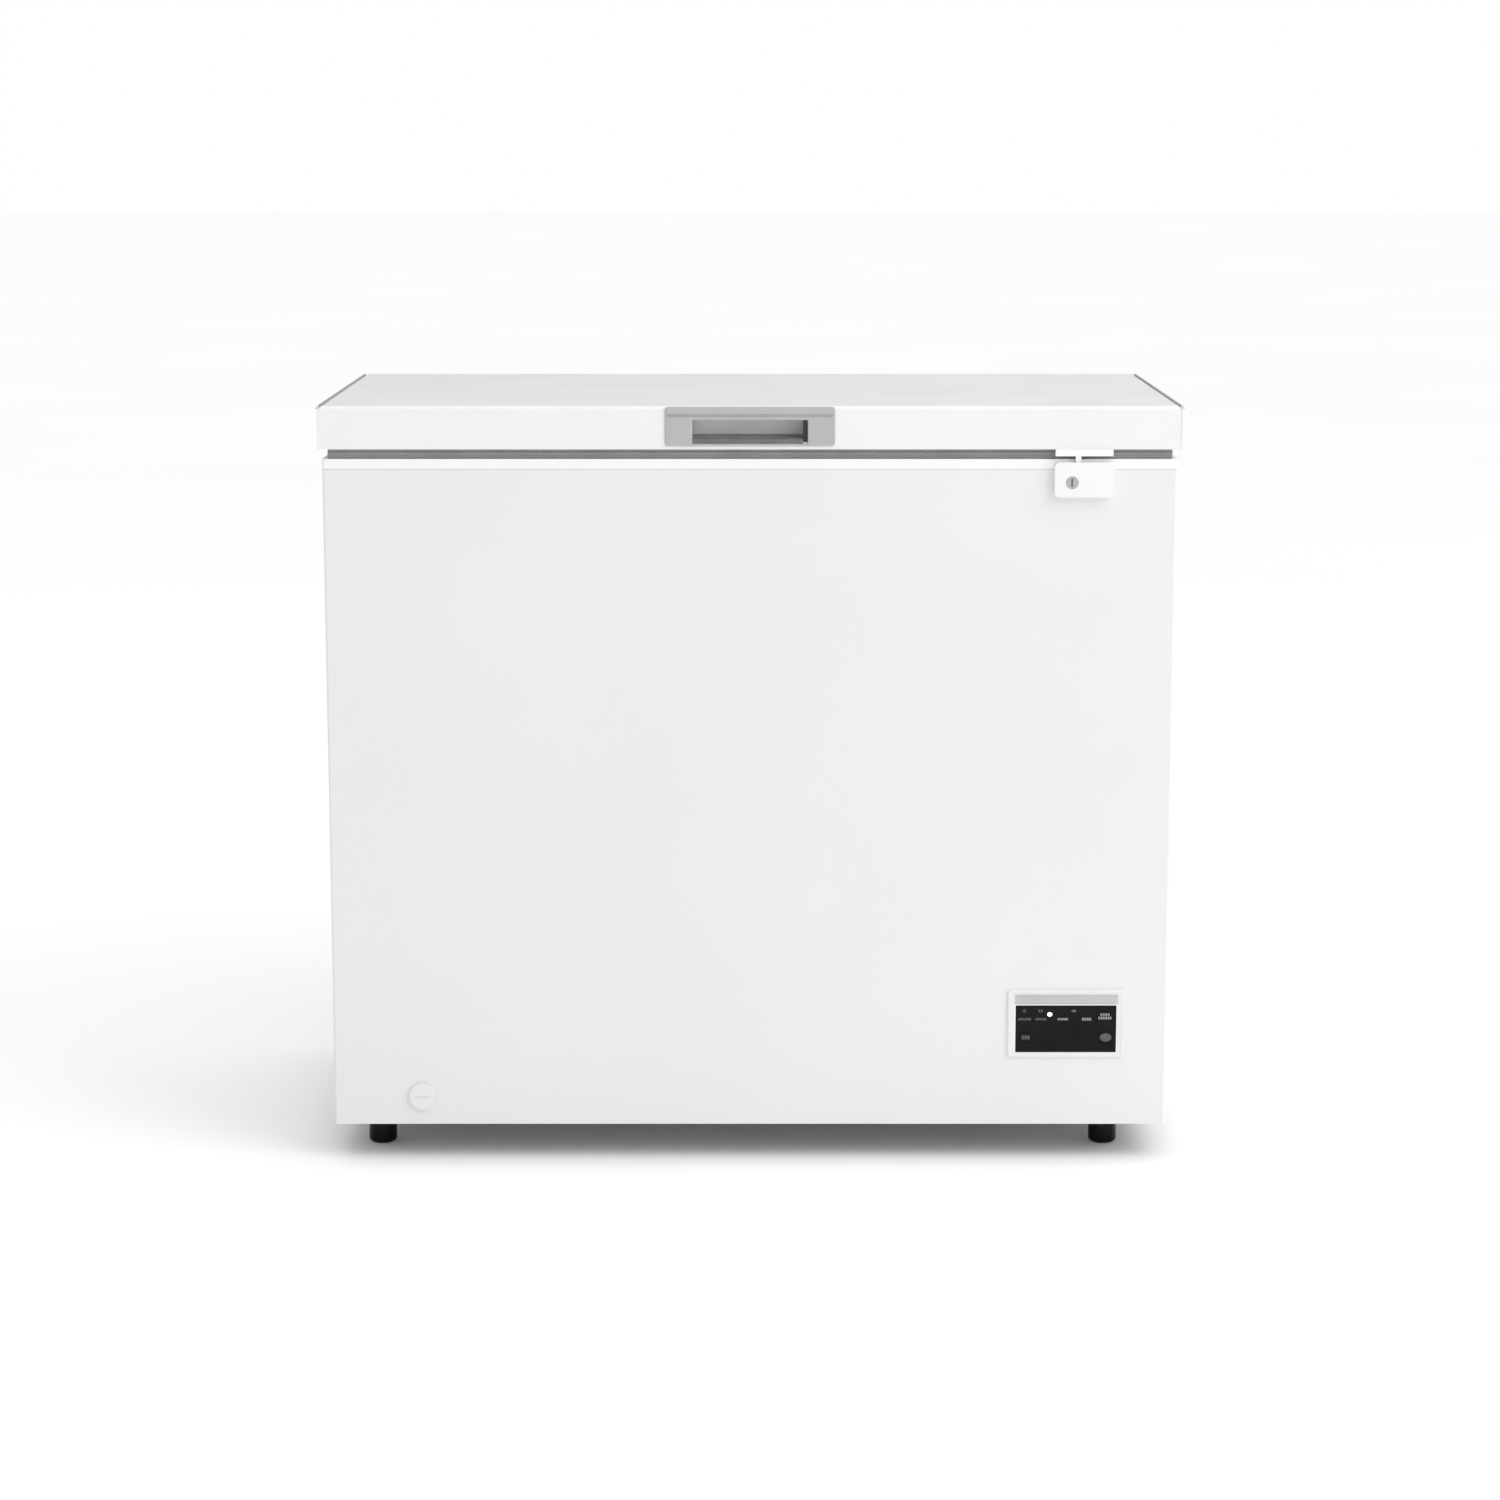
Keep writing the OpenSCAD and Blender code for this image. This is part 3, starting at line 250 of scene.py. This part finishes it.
def make_finishes():
    """One finish for each of the record's material slots, and a few variants of them."""
    orange_peel = ("Noise", 420, EVEN, 0.10, 0.0002)
    slow_wave = ("Noise", 5, EVEN, 0.10, 0.0015)
    mould = ("Noise", 1500, EVEN, 0.14, 0.0001)
    brushed = ("Noise", 900, (1, 14, 14), 0.2, 0.0001)
    return {
        "painted_sheet": surface(
            "white_powder_coat", grey(0.80), grey(0.825), (0.30, 0.40), 3.0,
            [slow_wave, orange_peel], Coat_Weight=0.25, Coat_Roughness=0.12,
        ),
        # The lid's copy of the case paint is a shade lighter: painted light for the brighter light on
        # the lid's front.
        "lid_paint_painted_light": surface(
            "white_paint_lid_painted_light", grey(0.85), grey(0.87), (0.30, 0.40), 3.5,
            [slow_wave, orange_peel], Coat_Weight=0.25, Coat_Roughness=0.12,
        ),
        "zinc_sheet": surface(
            "galvanised_sheet", grey(0.50), grey(0.575), (0.36, 0.48), 34,
            [("Noise", 120, EVEN, 0.05, 0.0002), ("Noise", 800, EVEN, 0.12, 0.0001)],
            Metallic=0.85,
        ),
        "foam": surface(
            "polyurethane_foam", (0.78, 0.66, 0.34), (0.86, 0.76, 0.45), (0.85, 0.95), 30,
            [("Voronoi", 420, EVEN, 0.5, 0.001)],
        ),
        "embossed_liner": surface(
            "stucco_aluminium", grey(0.74), grey(0.86), (0.30, 0.42), 8,
            [("Voronoi", 190, EVEN, 0.55, 0.0012), ("Noise", 700, EVEN, 0.1, 0.0001)], Metallic=0.8,
        ),
        "white_plastic": surface(
            "white_moulded_plastic", grey(0.86), grey(0.885), (0.34, 0.46), 14, [mould],
            Subsurface_Weight=0.04, Subsurface_Scale=0.002,
        ),
        "coil_tube": surface(
            "drawn_steel_tube", grey(0.34), grey(0.46), (0.35, 0.5), 40, [brushed], Metallic=0.9,
        ),
        "compressor_paint": surface(
            "black_baked_enamel", grey(0.012), grey(0.026), (0.25, 0.42), 16,
            [("Noise", 260, EVEN, 0.25, 0.0004)], Coat_Weight=0.3,
        ),
        "black_rubber": surface(
            "black_rubber", grey(0.018), grey(0.036), (0.62, 0.8), 60,
            [("Noise", 900, EVEN, 0.3, 0.0002)],
        ),
        "fastener": surface(
            "zinc_plated_steel", grey(0.55, 0.03), grey(0.7, 0.05), (0.22, 0.38), 120,
            [("Noise", 1600, EVEN, 0.15, 0.0001)], Metallic=1.0,
        ),
        "black_plastic": surface(
            "black_moulded_plastic", grey(0.003), grey(0.007), (0.2, 0.28), 40, [mould],
            Specular_IOR_Level=0.14,
        ),
        "copper": surface(
            "copper_tube", (0.60, 0.26, 0.14), (0.78, 0.42, 0.27), (0.25, 0.42), 26,
            [("Noise", 500, EVEN, 0.12, 0.0002)], Metallic=1.0,
        ),
        "grey_plastic": surface(
            "grey_flame_retardant_plastic", grey(0.46), grey(0.52), (0.5, 0.65), 20, [mould],
        ),
        "display": surface(
            "smoked_acrylic", grey(0.004), grey(0.008), (0.08, 0.16), 22,
            [("Noise", 300, EVEN, 0.02, 0.0001)], Specular_IOR_Level=0.12,
        ),
        "circuit_board": surface(
            "solder_mask", (0.01, 0.11, 0.04), (0.02, 0.19, 0.07), (0.3, 0.45), 300,
            [("Noise", 1100, EVEN, 0.25, 0.0001)],
        ),
        "sensor_steel": surface(
            "polished_steel", grey(0.30), grey(0.42), (0.22, 0.34), 160,
            [("Noise", 1200, (1, 1, 8), 0.1, 0.0001)], Metallic=1.0,
        ),
        "spring_steel": surface(
            "spring_wire", grey(0.20), grey(0.32), (0.3, 0.45), 200,
            [("Noise", 1500, EVEN, 0.2, 0.0001)], Metallic=1.0,
        ),
        "trim_grey": surface(
            "grey_edge_trim", grey(0.28), grey(0.34), (0.4, 0.55), 24, [mould],
        ),
        "gasket": surface(
            "grey_soft_vinyl", grey(0.29), grey(0.34), (0.5, 0.68), 30,
            [("Noise", 700, (0.2, 1, 1), 0.25, 0.0003)],
        ),
        "handle_silver": surface(
            "silver_painted_plastic", grey(0.46), grey(0.50), (0.30, 0.42), 30, [mould], Metallic=0.15,
        ),
        "handle_grey": surface(
            "grey_moulded_plastic", grey(0.66), grey(0.72), (0.42, 0.55), 26, [mould],
        ),
        "basket_wire": surface(
            "white_dipped_wire", grey(0.82), grey(0.87), (0.25, 0.36), 40,
            [("Noise", 260, EVEN, 0.15, 0.0004)], Coat_Weight=0.3,
        ),
        # Painted shade: dark grey standing in for the shade on the handle pocket's floor and inside the
        # keyway.
        "painted_shade_grey": surface(
            "dark_grey_painted_shade", grey(0.13), grey(0.18), (0.5, 0.65), 40, [mould],
        ),
        # Painted shade: a darker copy of the handle's silver for the band under the brow.
        "groove": surface(
            "silver_plastic_painted_groove_shade", grey(0.33), grey(0.40), (0.35, 0.5), 30, [mould], Metallic=0.1,
        ),
        "trim_light": surface(
            "pale_edge_trim", grey(0.80), grey(0.84), (0.38, 0.5), 24, [mould],
        ),
        "panel_plastic": surface(
            "panel_white_plastic", grey(0.80), grey(0.825), (0.34, 0.44), 20, [mould],
        ),
        # The own colour of the top frame and the lid catch; on the display's lip it also paints a bright
        # highlight line.
        "bright_plastic_and_painted_highlight": surface(
            "bright_white_plastic_and_painted_highlight", grey(0.90), grey(0.93), (0.28, 0.36), 20, [mould],
        ),
        # A darker copy of the galvanised sheet for the parts underneath: painted shade that deepens the
        # shadow under the cabinet.
        "zinc_painted_shade": surface(
            "galvanised_sheet_painted_shade", grey(0.24), grey(0.30), (0.45, 0.6), 34,
            [("Noise", 120, EVEN, 0.05, 0.0002), ("Noise", 800, EVEN, 0.12, 0.0001)],
            Metallic=0.7,
        ),
        "key_metal": surface(
            "brushed_key_metal", grey(0.42), grey(0.55), (0.4, 0.55), 260,
            [("Noise", 900, EVEN, 0.2, 0.0001)], Metallic=0.6,
        ),
        # Painted shadow: the dark line where the proud top frame shades the case.
        "seam_painted_shadow": surface(
            "seam_shadow_grey", grey(0.56), grey(0.62), (0.6, 0.75), 30, [mould],
        ),
        "mark": surface(
            "printed_grey_mark", grey(0.24), grey(0.34), (0.4, 0.5), 300,
            [("Noise", 1800, EVEN, 0.15, 0.00005)],
        ),
        "mark_faint": surface(
            "printed_dim_mark", grey(0.075), grey(0.115), (0.4, 0.5), 300,
            [("Noise", 1800, EVEN, 0.15, 0.00005)],
        ),
        "lamp": surface(
            "lit_lamp_lens", grey(0.9), grey(0.95), (0.2, 0.3), 300,
            [("Noise", 900, EVEN, 0.1, 0.00005)], Emission_Color=(1, 1, 1, 1), Emission_Strength=0.9,
        ),
        # Painted shade: grey for the recess face above the display, in the shadow of its top edge.
        "bezel_strip_painted_shade": surface(
            "bezel_recess_painted_shade", grey(0.50), grey(0.56), (0.35, 0.5), 40, [mould],
        ),
    }


FINISH = make_finishes()


def dress_frame():
    """Gives every CAD node the finish of its slot, and some of them a variant of it."""
    slots = {row["node"]: row["material_slot"] for row in frame["record"]["subparts"]}
    slots.update({
        # The lid gets the lighter copy of the case paint, which is painted light.
        "lid_panel": "lid_paint_painted_light",
        "lid_end_trim_left": "trim_light",
        "lid_end_trim_right": "trim_light",
        "control_bezel": "panel_plastic",
        "drain_cap": "panel_plastic",
        "lid_catch": "bright_plastic_and_painted_highlight",
        "top_frame": "bright_plastic_and_painted_highlight",
        # The parts underneath get the darker galvanised copy, which is painted shade.
        "base_plate": "zinc_painted_shade",
        "compressor_tray": "zinc_painted_shade",
        "lock_cylinder": "key_metal",
    })
    for name, obj in frame["nodes"].items():
        for holder in obj.material_slots:
            holder.material = FINISH[slots[name]]


def soften_node(name, width):
    """Rounds a CAD node's sharp edges for the eye, without moving its faces."""
    obj = frame["nodes"][name]
    weld = obj.modifiers.new("join_facets", "WELD")
    weld.merge_threshold = JOIN_DISTANCE
    bevel = obj.modifiers.new("soft_edges", "BEVEL")
    bevel.width = width
    bevel.segments = 2
    bevel.limit_method = "ANGLE"
    bevel.angle_limit = CAD_BEVEL_ANGLE
    bevel.harden_normals = True


# ---- Control panel ----


def icon_star(cx, cz, r):
    """A six-armed frost symbol."""
    arms = []
    for k in range(3):
        a = math.radians(60 * k + 30)
        along, across = Vector((math.cos(a), math.sin(a))), Vector((-math.sin(a), math.cos(a)))
        corners = [(r, 0.12 * r), (-r, 0.12 * r), (-r, -0.12 * r), (r, -0.12 * r)]
        points = [along * p + across * q for p, q in corners]
        arms.append([(cx + point.x, cz + point.y) for point in points])
    return arms


def icon_bars(cx, cz, width, height, count):
    """A row of short upright bars that stands for a label."""
    step = width / count
    return [
        round_rect(
            (cx - width / 2 + k * step + 0.14 * step, cx - width / 2 + (k + 1) * step - 0.14 * step),
            (cz - height / 2, cz + height / 2), 0.18 * min(step, height), 3,
        )
        for k in range(count)
    ]


def display_marks():
    """Plain symbols and label bars printed on the display's face."""
    low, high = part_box("display_window")
    cx, cz, y = (low.x + high.x) / 2, (low.z + high.z) / 2, low.y
    faint, clear = [], []
    faint += icon_star(cx - 46.9 * MM, cz + 20.6 * MM, 2.6 * MM)
    faint += icon_bars(cx - 28.5 * MM, cz + 20.6 * MM, 5.4 * MM, 3.4 * MM, 2)
    faint += [oval(cx + 8.8 * MM, cz + 20.6 * MM, 3.0 * MM, 1.6 * MM)]
    faint += icon_bars(cx - 46.4 * MM, cz + 11.1 * MM, 15.0 * MM, 2.9 * MM, 6)
    faint += icon_bars(cx - 28.0 * MM, cz + 11.1 * MM, 13.0 * MM, 2.7 * MM, 5)
    clear += icon_bars(cx - 3.5 * MM, cz + 11.1 * MM, 12.4 * MM, 2.7 * MM, 5)
    clear += icon_bars(cx + 23.3 * MM, cz + 11.1 * MM, 11.0 * MM, 3.4 * MM, 4)
    clear += icon_bars(cx + 43.9 * MM, cz + 16.4 * MM, 11.0 * MM, 3.0 * MM, 4)
    clear += icon_bars(cx + 43.9 * MM, cz + 12.4 * MM, 15.0 * MM, 3.4 * MM, 6)
    rows = (("display_marks_dim", faint, "mark_faint"), ("display_marks", clear, "mark"))
    for name, outlines, finish in rows:
        verts, faces = merged([tablet(points, y + PRINT_GAP, PRINT_DEPTH) for points in outlines])
        piece(name, verts, faces, "cabinet", FINISH[finish], "display")


def display_lamp():
    """The small lit indicator, a shallow dome with a rim."""
    low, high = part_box("display_window")
    cx, cz, y = (low.x + high.x) / 2 - 18.2 * MM, (low.z + high.z) / 2 + 16.6 * MM, low.y
    rings = [(2.9, 0.0), (2.8, 0.25), (2.5, 0.32), (2.1, 0.5), (1.3, 0.66), (0.4, 0.72)]
    dome = loft([facing(oval(cx, cz, r * MM, r * 0.86 * MM), y - h * MM) for r, h in rings])
    piece("display_lamp", *dome, "cabinet", FINISH["lamp"], "display", smooth=True)


def key_marks():
    """A plain bar symbol on the left key and a grey oval on the right one."""
    low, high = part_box("mode_key")
    cx, cz = (low.x + high.x) / 2, (low.z + high.z) / 2
    outlines = icon_bars(cx, cz, 9.5 * MM, 4.8 * MM, 3)
    bars = merged([tablet(points, low.y + PRINT_GAP, PRINT_DEPTH) for points in outlines])
    piece("mode_key_symbol", *bars, "mode_key", FINISH["mark_faint"], "display")
    low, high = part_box("set_key")
    cx, cz = (low.x + high.x) / 2, (low.z + high.z) / 2
    rings = [(6.6, 4.9, 0.0), (6.5, 4.8, 0.2), (6.0, 4.4, 0.3), (3.2, 2.3, 0.34), (0.6, 0.4, 0.35)]
    dome = loft([facing(oval(cx, cz, a * MM, b * MM), low.y + (0.02 - h) * MM) for a, b, h in rings])
    piece("set_key_symbol", *dome, "set_key", FINISH["mark_faint"], "display", smooth=True)


def bezel_details():
    """The strip over the display, painted grey as the shade below the recess's top edge; the lip round
    it, painted bright as a highlight line; and the bezel's raised rim.
    """
    low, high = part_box("display_window")
    outer_low, outer_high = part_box("control_bezel")
    front = outer_low.y
    x = (low.x, high.x)
    z0, z1 = high.z + 1.3 * MM, high.z + 10.8 * MM
    profile = [
        (front + 1.5 * MM, z0), (front + 0.9 * MM, z0), (front + 0.35 * MM, z0 + 0.8 * MM),
        (front + 0.2 * MM, z1 - 2.0 * MM), (front - 0.1 * MM, z1), (front + 1.5 * MM, z1),
    ]
    # The strip's grey is painted shade.
    painted_shade_strip = strip(profile, x)
    piece("bezel_strip_painted_shade", *painted_shade_strip, "cabinet", FINISH["bezel_strip_painted_shade"], "white_plastic", 0.15 * MM)
    grow = 0.15 * MM
    inner = round_rect((low.x - grow, high.x + grow), (low.z - grow, high.z + grow), 1.0 * MM)
    wide = round_rect(
        (low.x - 2.2 * MM, high.x + 2.2 * MM), (low.z - 2.2 * MM, high.z + 1.2 * MM), 1.0 * MM
    )
    lip = hoop([
        facing(inner, low.y + 0.3 * MM), facing(inner, front + 0.25 * MM),
        facing(wide, front + 0.55 * MM), facing(wide, low.y + 0.5 * MM),
    ])
    # The lip's bright finish paints a highlight line round the display.
    piece("display_lip", *lip, "cabinet", FINISH["bright_plastic_and_painted_highlight"], "white_plastic", 0.12 * MM)
    rings = []
    for inset_x, inset_z, radius, stand in (
        (0.5, 0.5, 3.6, 0.0), (1.2, 1.2, 3.2, 0.4), (3.0, 2.6, 2.4, 0.4), (3.8, 3.4, 2.0, 0.0),
    ):
        x = (outer_low.x + inset_x * MM, outer_high.x - inset_x * MM)
        z = (outer_low.z + inset_z * MM, outer_high.z - inset_z * MM)
        rings.append(facing(round_rect(x, z, radius * MM), front - stand * MM))
    rim = hoop(rings)
    piece("bezel_rim", *rim, "cabinet", FINISH["panel_plastic"], "white_plastic", 0.1 * MM)


# ---- Handle, lid and collar ----


def handle_frame():
    """The handle's face with rounded corners, a raised brow along the top and, under it, a strip painted
    darker as the groove's shade.
    """
    low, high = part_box("handle_bezel")
    pocket_low, pocket_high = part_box("handle_pocket")
    back, front = high.y, low.y
    opening = (pocket_low.x + 7 * MM, pocket_high.x - 7 * MM)
    sill, head = low.z + 2.5 * MM, high.z - 14.6 * MM

    def outer(inset, y, r):
        x = (low.x + inset * MM, high.x - inset * MM)
        return facing(round_rect(x, (low.z + inset * MM, high.z - inset * MM), r * MM), y)

    def inner(grow, y, r):
        x = (opening[0] - grow * MM, opening[1] + grow * MM)
        return facing(round_rect(x, (sill - grow * MM, head + grow * MM), r * MM), y)

    face = hoop([
        outer(0.0, back, 4.0), outer(0.0, front + 1.0 * MM, 4.0), outer(0.4, front + 0.35 * MM, 3.8),
        outer(1.2, front + 0.1 * MM, 3.2), inner(1.2, front + 0.2 * MM, 1.6),
        inner(0.4, front + 0.5 * MM, 1.2), inner(0.0, front + 1.2 * MM, 1.0), inner(0.0, back, 1.0),
    ])
    frame_piece = piece("handle_frame", *face, "lid", FINISH["handle_silver"], "handle_silver")
    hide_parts("handle_bezel")
    x = (low.x + 2.6 * MM, high.x - 2.6 * MM)
    z = head + 6.4 * MM
    brow = [
        (front + 0.4 * MM, z), (front - 0.25 * MM, z + 0.5 * MM), (front - 0.4 * MM, z + 2.4 * MM),
        (front - 0.3 * MM, high.z - 2.4 * MM), (front + 0.4 * MM, high.z - 1.5 * MM),
    ]
    piece("handle_brow", *strip(brow, x), "lid", FINISH["handle_silver"], "handle_silver", 0.3 * MM)
    # A flat strip whose darker finish is painted shade under the brow.
    groove = [
        (front + 0.3 * MM, z - 3.2 * MM), (front + 0.02 * MM, z - 3.2 * MM),
        (front + 0.02 * MM, z), (front + 0.3 * MM, z),
    ]
    piece("handle_groove", *strip(groove, x), "lid", FINISH["groove"], "handle_silver")


def pocket_end_stop():
    """The dark rubber stop at the pocket's right-hand end, and a strip along the pocket's floor painted
    dark as the shade deep in the pocket.
    """
    low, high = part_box("handle_bezel")
    pocket_low, pocket_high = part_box("handle_pocket")
    x1 = pocket_high.x - 7.1 * MM
    outline = round_rect((x1 - 4.6 * MM, x1), (low.z + 5.2 * MM, high.z - 15.4 * MM), 1.2 * MM)
    stop = loft([facing(outline, low.y + 14 * MM), facing(outline, low.y + 1.6 * MM)])
    piece("pocket_end_stop", *stop, "lid", FINISH["black_rubber"], "black_plastic", 0.4 * MM)
    # The floor strip's dark grey is painted shade.
    z = low.z + 2.7 * MM
    sill = [
        (low.y + 9 * MM, z), (low.y + 1.6 * MM, z), (low.y + 1.6 * MM, z + 2.6 * MM),
        (low.y + 3.4 * MM, z + 5.0 * MM), (low.y + 9 * MM, z + 6.2 * MM),
    ]
    bar = strip(sill, (pocket_low.x + 7.1 * MM, x1 - 4.6 * MM))
    piece("pocket_sill_painted_shade", *bar, "lid", FINISH["painted_shade_grey"], "black_plastic", 0.3 * MM)


def lid_edge_lines():
    """The grey beading along the lid's two side edges, flared a little at the front corner."""
    low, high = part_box("lid_panel")
    for side, name in ((-1, "left"), (1, "right")):
        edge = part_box("lid_end_trim_" + name)[0 if side < 0 else 1].x
        rings = []
        for along, drop, flare in (
            (1.0, -2.2, 1.1), (3.0, -0.45, 0.5), (7.0, 0.12, 0.0), (60.0, 0.15, 0.0),
            (430.0, 0.15, 0.0), (492.0, 0.12, 0.0), (497.5, -0.45, 0.0),
        ):
            y, z = low.y + along * MM, high.z + drop * MM
            inner, outer = edge - side * 2.6 * MM, edge + side * (0.15 + flare) * MM
            section = ((inner, z - 0.7 * MM), (outer, z - 0.9 * MM), (outer, z), (inner, z + 0.1 * MM))
            rings.append([(x, y, corner_z) for x, corner_z in section])
        piece("lid_edge_line_" + name, *loft(rings), "lid", FINISH["trim_grey"], "trim_grey")


def key_slot_painted_shade():
    """A dark tablet over the slot in the key cylinder's face: painted shade inside the keyway."""
    low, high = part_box("lock_cylinder")
    cx, cz = (low.x + high.x) / 2, (low.z + high.z) / 2
    outline = round_rect((cx - 0.9 * MM, cx + 0.9 * MM), (cz - 4.6 * MM, cz + 2.8 * MM), 0.7 * MM)
    slot = tablet(outline, low.y + 0.05 * MM, 0.12 * MM)
    # The tablet's dark grey is painted shade.
    piece("key_slot_painted_shade", *slot, "lock_cylinder", FINISH["painted_shade_grey"], "black_plastic")


def grown(low, high, grow):
    """The X and Y ranges of a box, made larger by some millimetres on each side."""
    return (low.x - grow * MM, high.x + grow * MM), (low.y - grow * MM, high.y + grow * MM)


def gasket_lips():
    """Two soft ribs that stand out from the gasket's outer face."""
    low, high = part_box("lid_gasket")
    for k, height in enumerate((2.4, 6.2)):
        z = low.z + height * MM
        rings = []
        for grow, dz in ((-0.3, -1.4), (0.4, -0.7), (0.55, 0.0), (0.4, 0.7), (-0.3, 1.4)):
            outline = round_rect(*grown(low, high, grow), 2.0 * MM)
            rings.append(level(outline, z + dz * MM))
        piece("gasket_rib_%d" % (k + 1), *hoop(rings), "lid", FINISH["gasket"], "gasket", smooth=True)


def collar_seam_painted_shadow():
    """A fine dark line at the joint between the top frame and the painted case: painted shadow under the
    proud frame.
    """
    low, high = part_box("outer_case")
    outer, inner = (round_rect(*grown(low, high, grow), 3.0 * MM) for grow in (0.06, -0.4))
    bottom, top = high.z - 0.5 * MM, high.z + 0.25 * MM
    band = hoop([level(inner, bottom), level(outer, bottom), level(outer, top), level(inner, top)])
    # The line's grey is painted shadow.
    piece("collar_seam_painted_shadow", *band, "cabinet", FINISH["seam_painted_shadow"], "trim_grey")


# ---- Basket ----


def smooth_basket():
    """The basket in round dipped wire, along the same lines as the CAD basket."""
    low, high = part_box("basket")
    top = high.z - 9.3 * MM
    floor = low.z + 3.7 * MM
    x0, x1 = low.x + 2.5 * MM, high.x - 2.5 * MM
    y0, y1 = low.y + 21.0 * MM, high.y - 21.0 * MM
    turn = 8 * MM

    def ring(z, r):
        mid = (x0 + x1) / 2
        corners = [(mid, y0, z), (x1, y0, z), (x1, y1, z), (x0, y1, z), (x0, y0, z), (mid, y0, z)]
        return rounded_path(corners, r)[:-1]

    across = [x0 + (6 * MM) + i * (x1 - x0 - 12 * MM) / 7 for i in range(8)]
    along = [y0 + (10 * MM) + i * (y1 - y0 - 20 * MM) / 10 for i in range(11)]
    thin = [(ring(floor + 60 * MM, turn), True)]
    for x in across:
        front, back = y0 + 2 * MM, y1 - 2 * MM
        corners = [(x, front, top), (x, front, floor), (x, back, floor), (x, back, top)]
        thin.append((rounded_path(corners, turn), False))
    for y in along:
        left, right, under = x0 + 2 * MM, x1 - 2 * MM, floor - 2.2 * MM
        corners = [(left, y, top), (left, y, under), (right, y, under), (right, y, top)]
        thin.append((rounded_path(corners, turn), False))
    coating = FINISH["basket_wire"]
    wires = wire_set("basket_wires", thin, 1.5 * MM, "basket", coating)
    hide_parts("basket")
    wire_set("basket_rim", [(ring(top, turn), True)], 2.5 * MM, "basket", coating)
    hooks = []
    for bend, reach in ((y0 + 2 * MM, low.y + 2 * MM), (y1 - 2 * MM, high.y - 2 * MM)):
        z = high.z - 2 * MM
        corners = [
            (x0 + 30 * MM, bend, top), (x0 + 30 * MM, bend, z), (x0 + 30 * MM, reach, z),
            (x1 - 30 * MM, reach, z), (x1 - 30 * MM, bend, z), (x1 - 30 * MM, bend, top),
        ]
        hooks.append((rounded_path(corners, 3.4 * MM), False))
    wire_set("basket_hooks", hooks, 2.0 * MM, "basket", coating)


# ---- Studio ----


def floor_and_backdrop():
    """A wide pale floor."""
    mesh = bpy.data.meshes.new("floor")
    corners = [(x * FLOOR_REACH, y * FLOOR_REACH, 0) for x, y in ((-1, -1), (1, -1), (1, 1), (-1, 1))]
    mesh.from_pydata(corners, [], [(0, 1, 2, 3)])
    mesh.materials.append(
        surface("pale_studio_floor", grey(0.97), grey(0.99), (0.75, 0.85), 0.6,
                [("Noise", 40, EVEN, 0.02, 0.001)], Specular_IOR_Level=0.1,
                Emission_Color=(1, 1, 1, 1), Emission_Strength=0.05)
    )
    floor = bpy.data.objects.new("studio_floor", mesh)
    bpy.context.scene.collection.objects.link(floor)


def world_light(strength, overhead):
    """A white room: it looks pure white, and lights the object more from the right and from above."""
    world = bpy.data.worlds.new("white_room")
    world.use_nodes = True
    bpy.context.scene.world = world
    tree = world.node_tree
    tree.nodes.clear()
    out = tree.nodes.new("ShaderNodeOutputWorld")
    seen = tree.nodes.new("ShaderNodeBackground")
    lit = tree.nodes.new("ShaderNodeBackground")
    mix = tree.nodes.new("ShaderNodeMixShader")
    path = tree.nodes.new("ShaderNodeLightPath")
    coords = tree.nodes.new("ShaderNodeTexCoord")
    split = tree.nodes.new("ShaderNodeSeparateXYZ")
    side = tree.nodes.new("ShaderNodeMapRange")
    rise = tree.nodes.new("ShaderNodeMath")
    rise.operation = "MULTIPLY_ADD"
    rise.inputs[1].default_value = overhead
    seen.inputs["Color"].default_value = (1, 1, 1, 1)
    seen.inputs["Strength"].default_value = 1.0
    limits = {"From Min": -1.0, "From Max": 1.0, "To Min": strength[0], "To Max": strength[1]}
    for key, value in limits.items():
        side.inputs[key].default_value = value
    tree.links.new(coords.outputs["Generated"], split.inputs["Vector"])
    tree.links.new(split.outputs["X"], side.inputs["Value"])
    tree.links.new(split.outputs["Z"], rise.inputs[0])
    tree.links.new(side.outputs["Result"], rise.inputs[2])
    tree.links.new(rise.outputs["Value"], lit.inputs["Strength"])
    tree.links.new(path.outputs["Is Camera Ray"], mix.inputs["Fac"])
    tree.links.new(lit.outputs["Background"], mix.inputs[1])
    tree.links.new(seen.outputs["Background"], mix.inputs[2])
    tree.links.new(mix.outputs["Shader"], out.inputs["Surface"])


def soft_light(name, place, target, size, power):
    """A large soft lamp that points at a target."""
    data = bpy.data.lights.new(name, "AREA")
    data.shape = "RECTANGLE"
    data.size, data.size_y = size
    data.energy = power
    lamp = bpy.data.objects.new(name, data)
    lamp.location = place
    lamp.rotation_euler = (Vector(target) - Vector(place)).to_track_quat("-Z", "Y").to_euler()
    bpy.context.scene.collection.objects.link(lamp)


def photo_camera():
    """The photograph's view: straight from the front, a little above."""
    data = bpy.data.cameras.new("photo_camera")
    data.sensor_width = 36
    data.lens = CAMERA_LENS
    camera = bpy.data.objects.new("photo_camera", data)
    camera.location = CAMERA_PLACE
    camera.rotation_euler = (math.radians(90 - CAMERA_DROP), 0, 0)
    bpy.context.scene.collection.objects.link(camera)
    bpy.context.scene.camera = camera


bpy.context.scene.view_settings.view_transform = "Standard"
photo_camera()
dress_frame()
for node, width in (
    ("top_frame", 0.9), ("lid_end_trim_left", 0.5), ("lid_end_trim_right", 0.5),
    ("lock_housing", 1.2), ("lid_catch", 1.2), ("control_bezel", 0.5), ("handle_pocket", 0.5),
):
    soften_node(node, width * MM)
display_marks()
display_lamp()
key_marks()
bezel_details()
handle_frame()
pocket_end_stop()
lid_edge_lines()
key_slot_painted_shade()
gasket_lips()
collar_seam_painted_shadow()
smooth_basket()
floor_and_backdrop()
world_light((0.21, 0.74), 1.08)
soft_light("key_light", (2.7, -2.0, 2.9), (0.2, 0, 0.5), (2.8, 2.8), 50)
